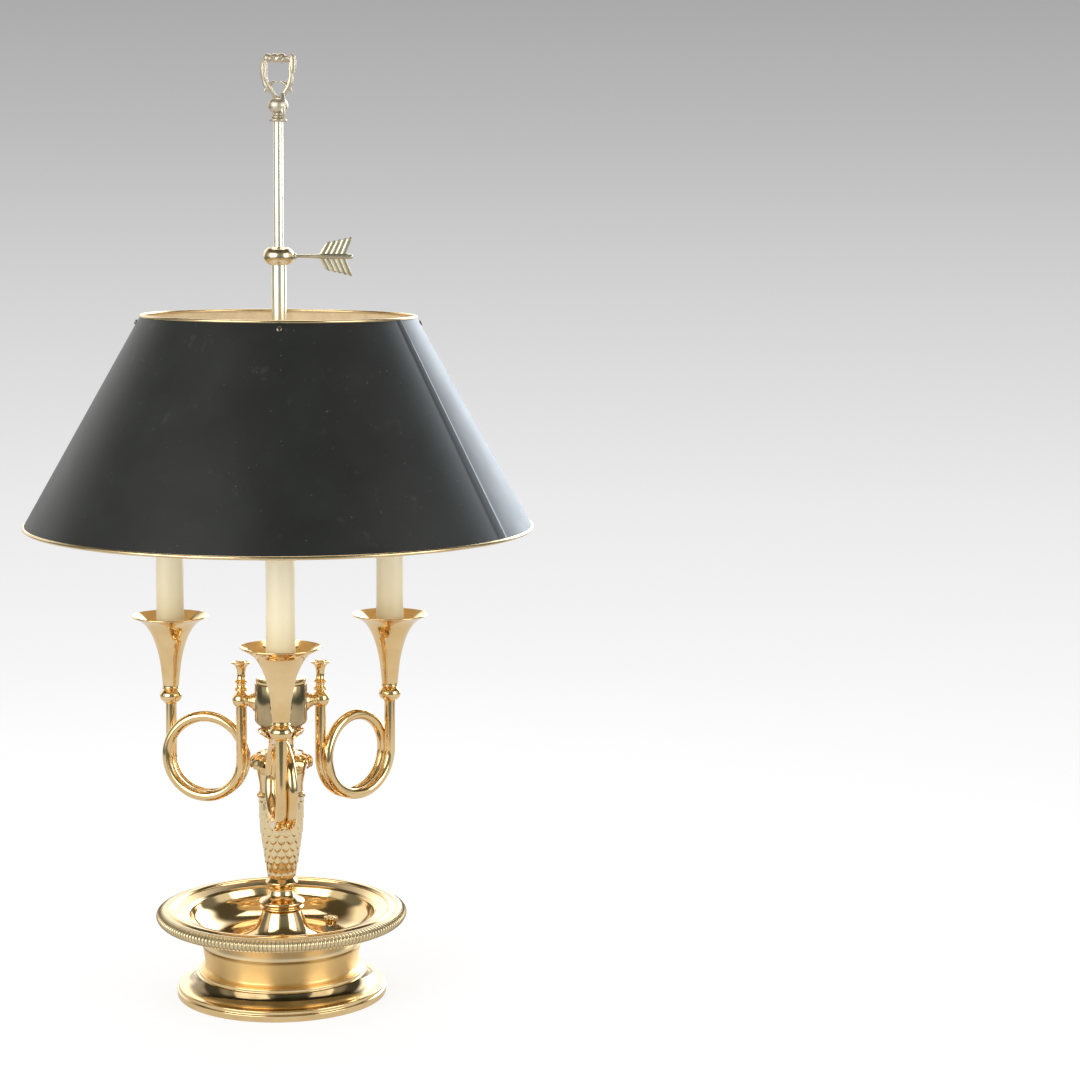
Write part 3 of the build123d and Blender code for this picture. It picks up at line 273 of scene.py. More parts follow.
def lathe(name, outline, node, steps, centre=(0, 0, 0), closed=False, relief=None, **looks):
    """A turned piece."""
    piece(name, turned(outline, steps, centre, closed, relief), node, **looks)


# --- materials ---
class Nodes:
    """Short calls that build the nodes of a material or a world."""

    def __init__(self, owner, place="Object", bare=False):
        owner.use_nodes = True
        self.owner = owner
        self.tree = owner.node_tree
        if bare:
            self.tree.nodes.clear()
        self.place = self.add("TexCoord").outputs[place]

    def put(self, socket, value):
        """Links a socket to an input, or sets the input; a colour of three numbers becomes opaque."""
        if isinstance(value, bpy.types.NodeSocket):
            self.tree.links.new(value, socket)
        elif socket.type == "RGBA":
            socket.default_value = (*value, 1.0)
        else:
            socket.default_value = value

    def add(self, kind, **settings):
        """A new shader node, with its inputs and settings; an underscore stands for a space."""
        node = self.tree.nodes.new("ShaderNode" + kind)
        for key, value in settings.items():
            name = key.replace("_", " ")
            if name in node.inputs:
                self.put(node.inputs[name], value)
            else:
                setattr(node, key, value)
        return node

    def out(self, kind, **settings):
        """The first output in use of a new node."""
        return next(socket for socket in self.add(kind, **settings).outputs if socket.enabled)

    def set(self, **inputs):
        """Links or sets inputs of the surface shader, and returns the material."""
        shader = self.tree.nodes["Principled BSDF"]
        for key, value in inputs.items():
            self.put(shader.inputs[key.replace("_", " ")], value)
        return self.owner

    def stretched(self, scale):
        """The object's coordinates times a scale along each axis."""
        return self.out("Mapping", Vector=self.place, Scale=scale)

    def noise(self, scale, detail=3.0, vector=None, roughness=0.5):
        vector = vector or self.place
        return self.out("TexNoise", Vector=vector, Scale=scale, Detail=detail, Roughness=roughness)

    def ramp(self, factor, *stops):
        """A colour ramp with (position, colour) stops."""
        node = self.add("ValToRGB", Fac=factor)
        marks = node.color_ramp.elements
        while len(marks) < len(stops):
            marks.new(0.5)
        for mark, (position, colour) in zip(marks, stops):
            mark.position = position
            mark.color = (*colour, 1.0)
        return node.outputs["Color"]

    def span(self, source, start=0.0, end=1.0, lowest=0.0, highest=1.0, kind="LINEAR"):
        """The run from start to end, mapped onto the run from lowest to highest."""
        return self.out(
            "MapRange", interpolation_type=kind, Value=source,
            From_Min=start, From_Max=end, To_Min=lowest, To_Max=highest,
        )

    def scaled(self, factor, lowest, highest):
        """A factor from 0 to 1 spread between two values."""
        return self.span(factor, lowest=lowest, highest=highest)

    def share(self, source, start, end):
        """A share that climbs smoothly from 0 at start to 1 at end."""
        return self.span(source, start, end, kind="SMOOTHSTEP")

    def band(self, source, start, full, fall, end):
        """A share that is 1 between full and fall, and 0 before start and after end."""
        return self.minus(self.share(source, start, full), self.share(source, fall, end))

    def maths(self, operation, *values):
        """One sum of values or sockets."""
        node = self.add("Math", operation=operation)
        for socket, value in zip(node.inputs, values):
            self.put(socket, value)
        return node.outputs[0]

    def times(self, first, second):
        return self.maths("MULTIPLY", first, second)

    def minus(self, first, second):
        return self.maths("SUBTRACT", first, second)

    def axes(self):
        """The coordinates' x, y and z."""
        return self.add("SeparateXYZ", Vector=self.place).outputs

    def from_axis(self):
        """Distance from the lamp's upright axis."""
        x, y, _ = self.axes()
        return self.maths("SQRT", self.maths("ADD", self.times(x, x), self.times(y, y)))

    def azimuth(self):
        """Angle about the lamp's upright axis."""
        x, y, _ = self.axes()
        return self.maths("ARCTAN2", y, x)

    def bump(self, height, strength, distance):
        return self.out("Bump", Height=height, Strength=strength, Distance=distance)

    def mix(self, factor, first, second, blend="MIX"):
        """A colour that goes from first to second with the factor."""
        node = self.add("Mix", data_type="RGBA", blend_type=blend)
        for name, value in (("Factor", factor), ("A", first), ("B", second)):
            slot = next(socket for socket in node.inputs if socket.name == name and socket.enabled)
            self.put(slot, value)
        return next(socket for socket in node.outputs if socket.enabled)

    def either(self, factor, first, second):
        """A shader that goes from first to second with the factor."""
        node = self.add("MixShader", Fac=factor)
        self.put(node.inputs[1], first)
        self.put(node.inputs[2], second)
        return node.outputs[0]


def material(name):
    return Nodes(bpy.data.materials.new(name))


def polished(n, tone, roughness, spread, dents):
    """Polished metal with fine wipe marks and a faintly uneven surface."""
    wipes = n.noise(260.0, 5.0, n.stretched((1.0, 1.0, 3.0)), 0.65)
    return n.set(
        Base_Color=tone,
        Metallic=1.0,
        Roughness=n.scaled(wipes, roughness, roughness + spread),
        Normal=n.bump(n.noise(55.0, 2.0), dents, 0.0006),
    )


def brass(name, pale, deep, roughness, spread=0.03, dents=0.05):
    """Lacquered brass whose tone changes slowly."""
    n = material(name)
    return polished(n, n.ramp(n.noise(38.0, 4.0), (0.32, deep), (0.72, pale)), roughness, spread, dents)


def drum_brass():
    """Satin brass with a lathe's fine rings; paler on the flare, and a painted shade just under the crease.
    """
    n = material("drum_brass")
    rings = n.noise(900.0, 3.0, n.stretched((0.02, 0.02, 1.0)), 0.7)
    clouds = n.noise(30.0, 4.0)
    satin = n.ramp(clouds, (0.3, (0.79, 0.52, 0.20)), (0.75, (0.91, 0.63, 0.275)))
    bright = n.ramp(clouds, (0.3, (0.90, 0.73, 0.43)), (0.75, (0.95, 0.80, 0.52)))
    level = n.axes()["Z"]
    above = n.share(level, CREASE_LEVEL - 0.001, CREASE_LEVEL + 0.0015)
    # painted shade: a dark band just under the crease
    painted_crease_shade = n.band(level, CREASE_LEVEL - 0.0042, CREASE_LEVEL - 0.0016, CREASE_LEVEL - 0.0006, CREASE_LEVEL)
    satin = n.mix(n.times(painted_crease_shade, 0.75), satin, (0.30, 0.16, 0.045))
    return n.set(
        Base_Color=n.mix(above, satin, bright),
        Metallic=1.0,
        Roughness=n.minus(n.scaled(rings, 0.35, 0.41), n.times(above, 0.06)),
        Anisotropic=0.92,
        Anisotropic_Rotation=0.25,
        Tangent=n.out("Tangent", direction_type="RADIAL", axis="Z"),
        Normal=n.bump(rings, 0.10, 0.0003),
    )


def foot_brass():
    """Polished brass with a painted dark reflection in the front half of the cove below the stepped ring."""
    n = material("foot_brass")
    bright = n.ramp(n.noise(38.0, 4.0), (0.32, (0.79, 0.555, 0.265)), (0.72, (0.89, 0.665, 0.36)))
    # painted reflection: a dark tone for the front half of the cove, in place of the dark room it reflects
    dark = n.ramp(n.noise(70.0, 4.0), (0.30, (0.19, 0.135, 0.065)), (0.72, (0.31, 0.225, 0.115)))
    front = n.share(n.times(n.axes()["Y"], -1.0), 0.004, 0.024)
    radii = (0.0735, 0.0742, 0.0800, 0.0838)
    painted_cove_reflection = n.times(n.band(n.from_axis(), *radii), front)
    return polished(n, n.mix(painted_cove_reflection, bright, dark), 0.09, 0.04, 0.05)


def bead_brass():
    """Brass with painted shade in the grooves between the ribs."""
    n = material("bead_brass")
    bright = n.ramp(n.noise(60.0, 4.0), (0.32, (0.70, 0.56, 0.32)), (0.72, (0.81, 0.675, 0.42)))
    wave = n.maths("ABSOLUTE", n.maths("SINE", n.times(n.azimuth(), RIB_COUNT / 2)))
    # painted shade in the grooves between the ribs
    painted_groove_shade = n.minus(1.0, n.share(wave, 0.0, 0.40))
    ribbed = n.share(n.from_axis(), BEAD_INNER, BEAD_INNER + 0.002)
    return n.set(
        Base_Color=n.mix(n.times(painted_groove_shade, ribbed), bright, (0.12, 0.08, 0.035)),
        Metallic=0.85,
        Roughness=n.scaled(n.noise(200.0, 4.0), 0.25, 0.33),
    )


def black_shade():
    """Satin black paint on sheet: a faint mottle, pale specks and scuffs, and along the seam a painted shade
    beside a painted highlight line.
    """
    n = material("shade_black_paint")
    mottle = n.noise(16.0, 5.0, None, 0.6)
    body = n.ramp(mottle, (0.30, (0.010, 0.011, 0.010)), (0.75, (0.017, 0.019, 0.017)))
    specks = n.ramp(n.noise(420.0, 2.0), (0.73, (0, 0, 0)), (0.77, (1, 1, 1)))
    rubs = n.noise(34.0, 9.0, n.stretched((1.6, 1.6, 1.0)), 0.72)
    scuffs = n.ramp(rubs, (0.60, (0, 0, 0)), (0.76, (1, 1, 1)))
    wear_and_painted_seam_light = n.mix(specks, body, (0.10, 0.10, 0.095))
    wear_and_painted_seam_light = n.mix(n.scaled(scuffs, 0.0, 0.35), wear_and_painted_seam_light, (0.09, 0.09, 0.085))
    turn = n.minus(n.azimuth(), SEAM_ANGLE)     # radians from the seam
    # painted shade in a narrow band on one side of the seam's lap
    painted_seam_shade = n.band(turn, -0.075, -0.025, -0.012, -0.006)
    wear_and_painted_seam_light = n.mix(n.times(painted_seam_shade, 0.6), wear_and_painted_seam_light, (0.004, 0.004, 0.004))
    # painted highlight: a pale line along the seam's lap edge
    edge = n.band(turn, -0.0085, -0.0055, 0.0015, 0.0045)
    wear_and_painted_seam_light = n.mix(n.times(edge, 0.8), wear_and_painted_seam_light, (0.16, 0.17, 0.175))
    return n.set(
        Base_Color=wear_and_painted_seam_light,
        Roughness=n.scaled(mottle, 0.36, 0.52),
        Specular_IOR_Level=0.42,
        Normal=n.bump(n.noise(1500.0, 2.0), 0.10, 0.0002),
    )


def gold_paint():
    """Gold paint inside the shade: brushed on, a little streaky."""
    n = material("shade_gold_paint")
    streaks = n.noise(60.0, 5.0, n.stretched((1.0, 1.0, 0.15)), 0.7)
    return n.set(
        Base_Color=n.ramp(streaks, (0.25, (0.72, 0.565, 0.35)), (0.75, (0.94, 0.77, 0.50))),
        Metallic=0.35,
        Roughness=n.scaled(streaks, 0.42, 0.60),
        Normal=n.bump(streaks, 0.1, 0.0003),
    )


def candle_ivory():
    """Ivory candle cover: waxy, warmer towards its foot."""
    n = material("candle_ivory")
    foot = low("candle_cover_front") * MM
    height = n.span(n.axes()["Z"], foot + 0.01, foot + 0.09)
    body = n.ramp(height, (0.0, (0.80, 0.71, 0.44)), (1.0, (0.84, 0.795, 0.61)))
    clouds = n.noise(45.0, 4.0)
    return n.set(
        Base_Color=n.mix(n.scaled(clouds, 0.0, 0.25), body, (0.88, 0.82, 0.66)),
        Roughness=n.scaled(clouds, 0.34, 0.46),
        Subsurface_Weight=0.12,
        Subsurface_Radius=(0.006, 0.004, 0.002),
        Normal=n.bump(n.noise(320.0, 2.0), 0.04, 0.0003),
    )


def mottled(name, dark, pale, scale, roughness, metallic=0.0, bump=0.1, stretch=(1.0, 1.0, 1.0)):
    """A plain surface with a natural mottle: cast iron, felt, plated steel, moulded plastic."""
    n = material(name)
    spots = n.noise(scale, 5.0, n.stretched(stretch), 0.65)
    return n.set(
        Base_Color=n.ramp(spots, (0.3, dark), (0.7, pale)),
        Metallic=metallic,
        Roughness=n.scaled(spots, roughness - 0.05, roughness + 0.08),
        Normal=n.bump(spots, bump, 0.0004),
    )


FLARE_HEIGHT = 19.5     # from the drum's crease to the flare's top
CREASE_LEVEL = (high("base_drum") - FLARE_HEIGHT) * MM
RIB_COUNT = 190
BEAD_INNER = (reach("dish_pan") - 4.2) * MM     # radius at which the ribs begin
SEAM_ANGLE = radians(-31.0)
FINISHES = {
    "polished_brass": brass("polished_brass", (0.90, 0.672, 0.365), (0.80, 0.560, 0.265), 0.085),
    "pale_brass": brass("pale_brass", (0.92, 0.865, 0.70), (0.86, 0.80, 0.60), 0.31, 0.02, 0.0),
    "satin_brass": drum_brass(),
    "wire_brass": brass("wire_brass", (0.80, 0.62, 0.36), (0.66, 0.48, 0.25), 0.22),
    "shade_black": black_shade(),
    "candle_ivory": candle_ivory(),
    "socket_black": mottled("socket_black", (0.03, 0.027, 0.024), (0.05, 0.045, 0.04), 120.0, 0.3),
    "plated_steel": mottled(
        "plated_steel", (0.50, 0.49, 0.46), (0.66, 0.65, 0.62), 90.0, 0.3, 1.0, 0.08, (1.0, 1.0, 6.0)
    ),
    "cast_iron": mottled("cast_iron", (0.05, 0.05, 0.05), (0.11, 0.11, 0.11), 160.0, 0.7, 0.6, 0.5),
    "felt": mottled("felt", (0.02, 0.08, 0.04), (0.05, 0.15, 0.08), 700.0, 0.95, 0.0, 0.6),
    "black_plastic": mottled("black_plastic", (0.025, 0.025, 0.025), (0.045, 0.045, 0.045), 200.0, 0.45),
}
CAST = brass("cast_brass", (0.74, 0.66, 0.52), (0.56, 0.48, 0.36), 0.42, 0.08, 0.06)
ARROW = brass("arrow_brass", (0.70, 0.64, 0.48), (0.50, 0.44, 0.30), 0.34, 0.08, 0.04)
VASE = brass("vase_brass", (0.90, 0.725, 0.43), (0.80, 0.625, 0.34), 0.15, 0.05, 0.05)
# painted shade: a darker copy of the brass for the cluster drum, in place of its dark reflections
SHADED_CLUSTER = brass("shaded_cluster_brass", (0.61, 0.475, 0.27), (0.37, 0.28, 0.15), 0.10)
WORN = brass("worn_brass", (0.88, 0.74, 0.50), (0.78, 0.62, 0.38), 0.22)
DULL = brass("dull_brass", (0.30, 0.26, 0.20), (0.17, 0.15, 0.12), 0.35)
ANTIQUE = brass("shaded_brass", (0.84, 0.61, 0.30), (0.62, 0.40, 0.15), 0.13, 0.05, 0.12)

for node, thing in frame["nodes"].items():
    thing.data.materials.clear()
    thing.data.materials.append(FINISHES[NODE_SLOT[node]])


# --- base ---
RING_LIFT = 4.0         # the stepped ring's top above the CAD foot, as the photograph shows it
RING_HEIGHT = 2.8
RING_INSET = 18.9       # from the foot's edge in to the ring
WAIST_INSET = 37.4      # from the flare's edge in to the drum's waist
foot_radius = reach("base_foot")
step_radius = foot_radius - RING_INSET
ring_top = high("base_foot") + RING_LIFT
step_low = ring_top - RING_HEIGHT
base_foot = (
    Outline(-2.6, 0.0, 0.0, foot_radius).to((-0.4, 0.0)).arc((0.0, 0.4), QUARTER, 3).to((0.0, 4.9))
    .arc((-0.7, 5.6), QUARTER, 4).arc((-1.5, 6.5), -QUARTER, 4).to((-1.45, 8.1))
    .arc((-2.4, 9.1), QUARTER, 5).to((-6.0, 9.12))
    .at(0.0)
    .curve((83.2, 9.5), (80.7, 10.7), (78.5, 12.3), (76.6, 14.4), (75.2, 16.8), (74.3, step_low - 0.2))
    .at(step_low, step_radius).to((0.5, 0.0)).arc((0.0, 0.5), -QUARTER, 3)
    .at(ring_top, step_radius).to((0.0, -0.8)).arc((-0.8, 0.0), QUARTER, 4)
    .to((-10.0, 0.0), (-10.0, -2.6), (-2.6, -2.6))
    .at(step_low, step_radius).to((-2.6, -2.6), (2.0, -5.0))
    .at(0.0).to((78.0, 6.6), (foot_radius - 2.6, 6.5))
)
lathe("foot_shell", base_foot, "base_foot", 192, closed=True, finish=foot_brass())

flare_edge = reach("base_drum")
flare_top = high("base_drum")
waist = flare_edge - WAIST_INSET
crease = flare_top - FLARE_HEIGHT + 0.2
base_drum = (
    Outline(step_radius - 1.3, 0.0, ring_top).to((step_radius - 1.3, 0.5))
    .at(ring_top, waist).curve((2.4, 1.2), (0.7, 2.2), (0.0, 3.6))
    .at(crease, waist).curve((0.7, -14.0), (2.6, -2.2), steps=6).arc((2.2, -0.9), -0.3, 3)
    .arc((3.3, 0.4), 0.55, 5).curve((4.6, 3.6), (10.5, 9.8), (22.0, 15.6), steps=5)
    .at(flare_top, flare_edge).curve((-2.4, -1.6), (0.0, -0.7), steps=3).to((0.0, 0.0), (-5.0, 0.0))
    .at(crease, waist).curve((20.0, 17.0), (8.0, 10.5), (1.5, 3.0), steps=5).to((-1.5, 1.0))
    .at(ring_top, waist).to((-2.0, 4.0), (-2.0, 0.0))
)
lathe("drum_shell", base_drum, "base_drum", 192, closed=True)

dish_top = high("dish_pan")
dish_floor = low("column_pedestal")
dish_radius = reach("dish_pan")
pan = (
    Outline(BORE, 0.0, dish_floor).to((44.0, 0.0))
    .curve((56.0, 0.7), (68.0, 5.6), (76.5, 13.2), (dish_radius - 28.4, dish_top - dish_floor - 6.9), steps=6)
    .at(dish_top, dish_radius).arc((-27.4, -5.1), -0.25, 4).to((-26.3, -4.6))
    .arc((-25.4, -4.0), -0.25, 3).to((-16.1, -2.3)).arc((-15.0, -0.9), -0.35, 4)
    .arc((-9.3, -1.4), -0.33, 12).to((-8.8, -2.4), (-8.8, -4.5), (-25.0, -6.0), (-26.0, -7.0))
    .at(dish_floor).curve((77.5, 10.5), (68.0, 3.2), (56.0, -1.4), steps=5).to((BORE, -1.8))
)
lathe("dish_bowl", pan, "dish_pan", 192, closed=True)

RIB_STEPS = 8
RIB_DEPTH = 1.05


def rib(angle, height, place):
    """Round ribs side by side across the whole bead."""
    across = min(1.0, max(0.0, (place - 0.10) / 0.24), max(0.0, (0.97 - place) / 0.07)) ** 1.5
    return -RIB_DEPTH * across * (1.0 - abs(sin(RIB_COUNT * angle / 2)) ** 0.7)


bead = (
    Outline(-9.0, -1.3, dish_top, dish_radius).arc((-0.9, -5.2), -0.26, 8).arc((-1.2, -8.2), -0.28, 5)
    .at(flare_top).arc((flare_edge - 0.6, 0.0), -0.22, 4).to((dish_radius - 10.8, 0.0))
    .at(dish_top, dish_radius).to((-10.8, -2.6))
)
lathe("dish_bead", bead, "dish_pan", RIB_COUNT * RIB_STEPS, closed=True, relief=rib, finish=bead_brass())

# the rotary switch's knob is scalloped, and widens upward to a rounded rim
SCALLOPS = 10
knob_radius = reach("switch_knob") + 0.1
knob_foot = high("switch_nut") + 0.3
knob_height = high("switch_knob") - knob_foot


def scallop(angle, height, place):
    """Scallops that are deepest halfway up the knob."""
    return -0.9 * (1.0 - abs(sin(SCALLOPS * angle / 2))) * sin(pi * min(place * 1.35, 1.0))


knob = (
    Outline(0.0, 0.0, knob_foot).to((knob_radius * 0.66, 0.0))
    .curve((knob_radius * 0.72, 1.6), (knob_radius * 0.84, 4.2), (knob_radius * 0.97, knob_height - 2.4))
    .at(knob_foot + knob_height).arc((knob_radius * 0.80, -0.6), 0.42, 6)
    .arc((knob_radius * 0.52, -1.1), -0.3, 4).curve((knob_radius * 0.28, -0.2), (0.0, 0.0))
)
lathe("switch_dial", knob, "switch_knob", SCALLOPS * 12, middle("switch_knob"), relief=scallop)

# --- column ---
pedestal_top = high("column_pedestal")
pedestal = (
    Outline(BORE, 0.02, dish_floor).to((reach("column_pedestal"), 0.02))
    .curve((31.0, 2.1), (25.5, 5.6), (22.0, 10.6), (19.2, 16.6), (16.8, 22.4), steps=5)
    .arc((16.6, 23.9), -0.35, 3).arc((18.6, 25.2), -0.2, 3).arc((18.7, 27.0), 0.6, 5)
    .arc((17.6, 27.9), -0.3, 3).arc((19.9, 29.8), 0.15, 4).arc((18.0, 32.8), 0.45, 6)
    .curve((14.4, 34.4), (11.2, 37.2), (9.9, 40.6), steps=5)
    .at(pedestal_top).to((9.7, -1.2)).arc((10.6, -0.4), -0.4, 3).to((10.6, 0.0), (BORE, 0.0))
)
lathe("pedestal_turning", pedestal, "column_pedestal", 160)

collar_height = high("column_collar") - pedestal_top
column_collar = (
    Outline(BORE, 0.0, pedestal_top).to((9.8, 0.0)).curve((11.4, 0.5), (13.6, 1.9), steps=3)
    .arc((reach("column_collar") + 0.2, 3.8), 0.35, 5).curve((13.3, 5.0), (11.6, collar_height))
    .to((BORE, collar_height))
)
lathe("collar_turning", column_collar, "column_collar", 128)

SCALES_AROUND = 14
SCALE_PITCH = 6.7
SCALE_DEPTH = 1.1
SCALE_STRAIGHT = 0.85   # share of the pitch before the edges round to the tip
SCALE_TIP = 0.72        # length of that tip, as a share of the pitch
SCALE_MEAN = 0.62       # height of a scale that stays level with the outline
VASE_BEAD_HEIGHT = 73.3
vase_low = low("column_vase")
vase_high = high("column_vase")
bead_level = vase_low + VASE_BEAD_HEIGHT
scale_top = bead_level - 3.4
scale_foot = vase_low + 1.6


def scale(angle, height, place):
    """Overlapping pillowed scales in staggered rows, their tips down, between the foot and the bead."""
    if not scale_foot < height < scale_top or place > 0.93:
        return 0.0
    row = (scale_top - height) / SCALE_PITCH
    best = 0.0
    for level in (floor(row) - 1, floor(row)):
        across = 2.0 * ((angle / FULL_TURN * SCALES_AROUND + 0.5 * (level % 2)) % 1.0 - 0.5)
        along = row - level
        past = max(0.0, along - SCALE_STRAIGHT) / SCALE_TIP
        half = sqrt(max(0.0, 1.0 - past**2))
        if abs(across) < half:
            pillow = (1.0 - (across / half) ** 2) ** 0.5
            best = max(best, (0.30 + 0.70 * min(along / 1.15, 1.0)) * (0.25 + 0.75 * pillow))
    fade = min(1.0, (height - scale_foot) / 2.0, (scale_top - height) / 1.5)
    return SCALE_DEPTH * (best - SCALE_MEAN) * fade


vase = (
    Outline(BORE, 0.0, vase_low).to((11.3, 0.0)).arc((12.3, 1.6), 0.3, 4)
    .curve(
        (12.7, 6.0), (13.7, 11.5), (14.9, 18.5), (16.5, 30.0), (18.2, 41.0), (19.1, 54.0), (19.4, 66.0),
        (19.3, VASE_BEAD_HEIGHT - 3.2), steps=20,
    )
    .at(bead_level).to((19.5, -2.4)).arc((19.6, 2.4), 0.72, 10).to((18.9, 3.2))
    .curve((19.0, 10.0), (20.4, vase_high - bead_level - 3.0), (20.9, vase_high - bead_level), steps=6)
    .at(vase_high).to((BORE, 0.0))
)
lathe("vase_casting", vase, "column_vase", 336, relief=scale, finish=VASE, sharp=60)

LEAF_COLUMNS = 9


def leaf(level, path, widths, thickness, ridge, lobes, azimuth):
    """A cast leaf on a path of (radius, height above level), with a midrib, lobed edges and a rolled tip."""
    way = smooth_path(path, 6)
    last = len(way) - 1
    spread = smooth_path([(width, 0.0) for width in widths], ceil(last / (len(widths) - 1)))
    turn = Matrix.Rotation(azimuth, 3, "Z")
    points = []
    for side in (1, -1):
        for i, spot in enumerate(way):
            ahead = way[min(i + 1, last)] - way[max(i - 1, 0)]
            outward = Vector((ahead.y, -ahead.x)).normalized()
            wave = lobes * pi * i / last
            width = spread[min(i, len(spread) - 1)].x * (1.0 + 0.13 * sin(wave) ** 2)
            for k in range(LEAF_COLUMNS):
                t = 2.0 * k / (LEAF_COLUMNS - 1) - 1.0
                lift = ridge * (1.0 - abs(t)) ** 1.6 - 0.5 * ridge * cos(wave) * abs(t) ** 2
                body = thickness * (1.0 - 0.8 * abs(t) ** 3) * (1.0 - 0.45 * i / last)
                drop = lift + side * body / 2
                points.append(
                    turn @ Vector((spot.x + outward.x * drop, width * t, level + spot.y + outward.y * drop))
                )
    return plate(points, last + 1, LEAF_COLUMNS)


def leafy(name, node, core, steps, *rings, **looks):
    """A turned core with rings of leaves. A ring is a leaf's form, their count and the first one's place."""
    leaves = [
        leaf(*form, FULL_TURN * (k + first) / count) for form, count, first in rings for k in range(count)
    ]
    piece(name, joined(turned(core, steps), *leaves), node, **looks)


crown_low = low("leaf_crown")
crown_high = high("leaf_crown")
crown_radius = reach("leaf_crown")
crown = (
    Outline(BORE, 0.0, crown_low).to((20.6, 0.0)).curve((21.6, 4.0), (22.6, 8.0), (21.4, 11.6))
    .at(crown_high).curve((19.8, -1.4), (17.4, 0.0), steps=3).to((BORE, 0.0))
)
long_leaf = [
    (18.6, -0.4), (22.0, -0.9), (25.2, -3.2), (crown_radius - 0.7, -7.0), (crown_radius - 1.0, -10.8),
    (24.2, -11.8),
]
short_leaf = [(17.5, 0.3), (20.6, 0.3), (23.4, -1.6), (25.2, -4.6), (24.2, -7.0)]
leafy(
    "crown_leaves", "leaf_crown", crown, 96,
    ((crown_high, long_leaf, (3.4, 5.6, 6.4, 5.2, 2.0), 1.6, 1.0, 3), 9, 0.5),
    ((crown_high, short_leaf, (2.6, 4.4, 4.6, 3.0, 1.2), 1.4, 0.8, 3), 9, 0.0),
    finish=ANTIQUE,
)

neck_low = low("column_neck")
neck_high = high("column_neck")
neck = (
    Outline(BORE, 0.0, neck_low).to((18.6, 0.0)).curve((14.4, 1.6), (11.6, 4.4), (10.9, 8.0), steps=5)
    .curve((10.9, 12.0), (11.6, 14.6), (13.0, 16.4))
    .curve((15.6, 18.4), (16.4, 20.6), (15.8, neck_high - neck_low - 1.0))
    .at(neck_high).to((15.8, 0.0), (BORE, 0.0))
)
petal = [(12.4, 15.4), (15.4, 16.6), (17.8, 18.4), (19.0, 20.6), (18.0, 21.8)]
upper_petal = [(13.4, -6.2), (15.4, -5.2), (17.2, -3.6), (17.4, -1.8), (16.2, -1.0)]
leafy(
    "neck_casting", "column_neck", neck, 128,
    ((neck_low, petal, (2.0, 3.6, 3.8, 2.6, 1.0), 1.2, 0.7, 2), 10, 0.0),
    ((neck_high, upper_petal, (2.0, 3.4, 3.6, 2.8, 1.2), 1.2, 0.6, 2), 10, 0.5),
)

cluster_low = low("cluster_body")
cluster_high = high("cluster_body")
cluster_radius = reach("cluster_body")
cluster = (
    Outline(BORE, 0.0, cluster_low).to((17.6, 0.0)).arc((cluster_radius, 4.6), 0.33, 8)
    .at(cluster_high, cluster_radius).to((0.0, -0.5)).arc((-0.5, 0.0), QUARTER, 3).to((-2.4, 0.0))
    .at(cluster_low).to((cluster_radius - 2.4, 4.0), (BORE, 3.5))
)
lathe("cluster_drum", cluster, "cluster_body", 160, closed=True, finish=SHADED_CLUSTER)

cap_high = high("cluster_cap")
cap_radius = reach("cluster_cap")
cap = (
    Outline(4.2, -2.0, cluster_high)
    .at(cluster_high, cap_radius).to((-1.6, -2.0), (-1.6, 0.3), (-0.3, 0.3)).arc((0.0, 0.6), QUARTER, 3)
    .at(cap_high, cap_radius).to((0.0, -1.1)).arc((-1.1, 0.0), QUARTER, 5)
    .at(cap_high).curve((14.0, 0.3), (8.6, 0.2)).to((4.2, 0.2))
)
lathe("cluster_lid", cap, "cluster_cap", 160, closed=True)

nut = (
    Outline(4.15, 0.0, cap_high).to((7.4, 0.0)).arc((7.8, 1.8), 0.5, 5).arc((6.6, 3.0), -0.4, 4)
    .at(high("cap_nut")).arc((5.4, -0.3), 0.4, 5).to((4.15, 0.0))
)
lathe("cluster_nut", nut, "cap_nut", 96, closed=True)

# --- rod, top collar and ring handle ---
rod_radius = reach("center_rod")
rod_low = low("center_rod")
collar_low = low("top_collar")
rod = Outline(0.0, 0.0, rod_low).to((rod_radius, 0.0)).at(collar_low).to((rod_radius, 0.4), (0.0, 0.4))
lathe("rod", rod, "center_rod", 96)

top_collar = (
    Outline(0.0, 0.0, collar_low).to((5.6, 0.0)).arc((6.9, 0.5), 0.2, 3).arc((6.9, 2.6), 0.62, 7)
    .arc((5.3, 3.4), -0.35, 4).arc((5.4, 4.9), 0.6, 5)
    .at(high("top_collar")).to((3.6, 0.0), (0.0, 0.0))
)
lathe("rod_collar", top_collar, "top_collar", 96, finish=CAST)


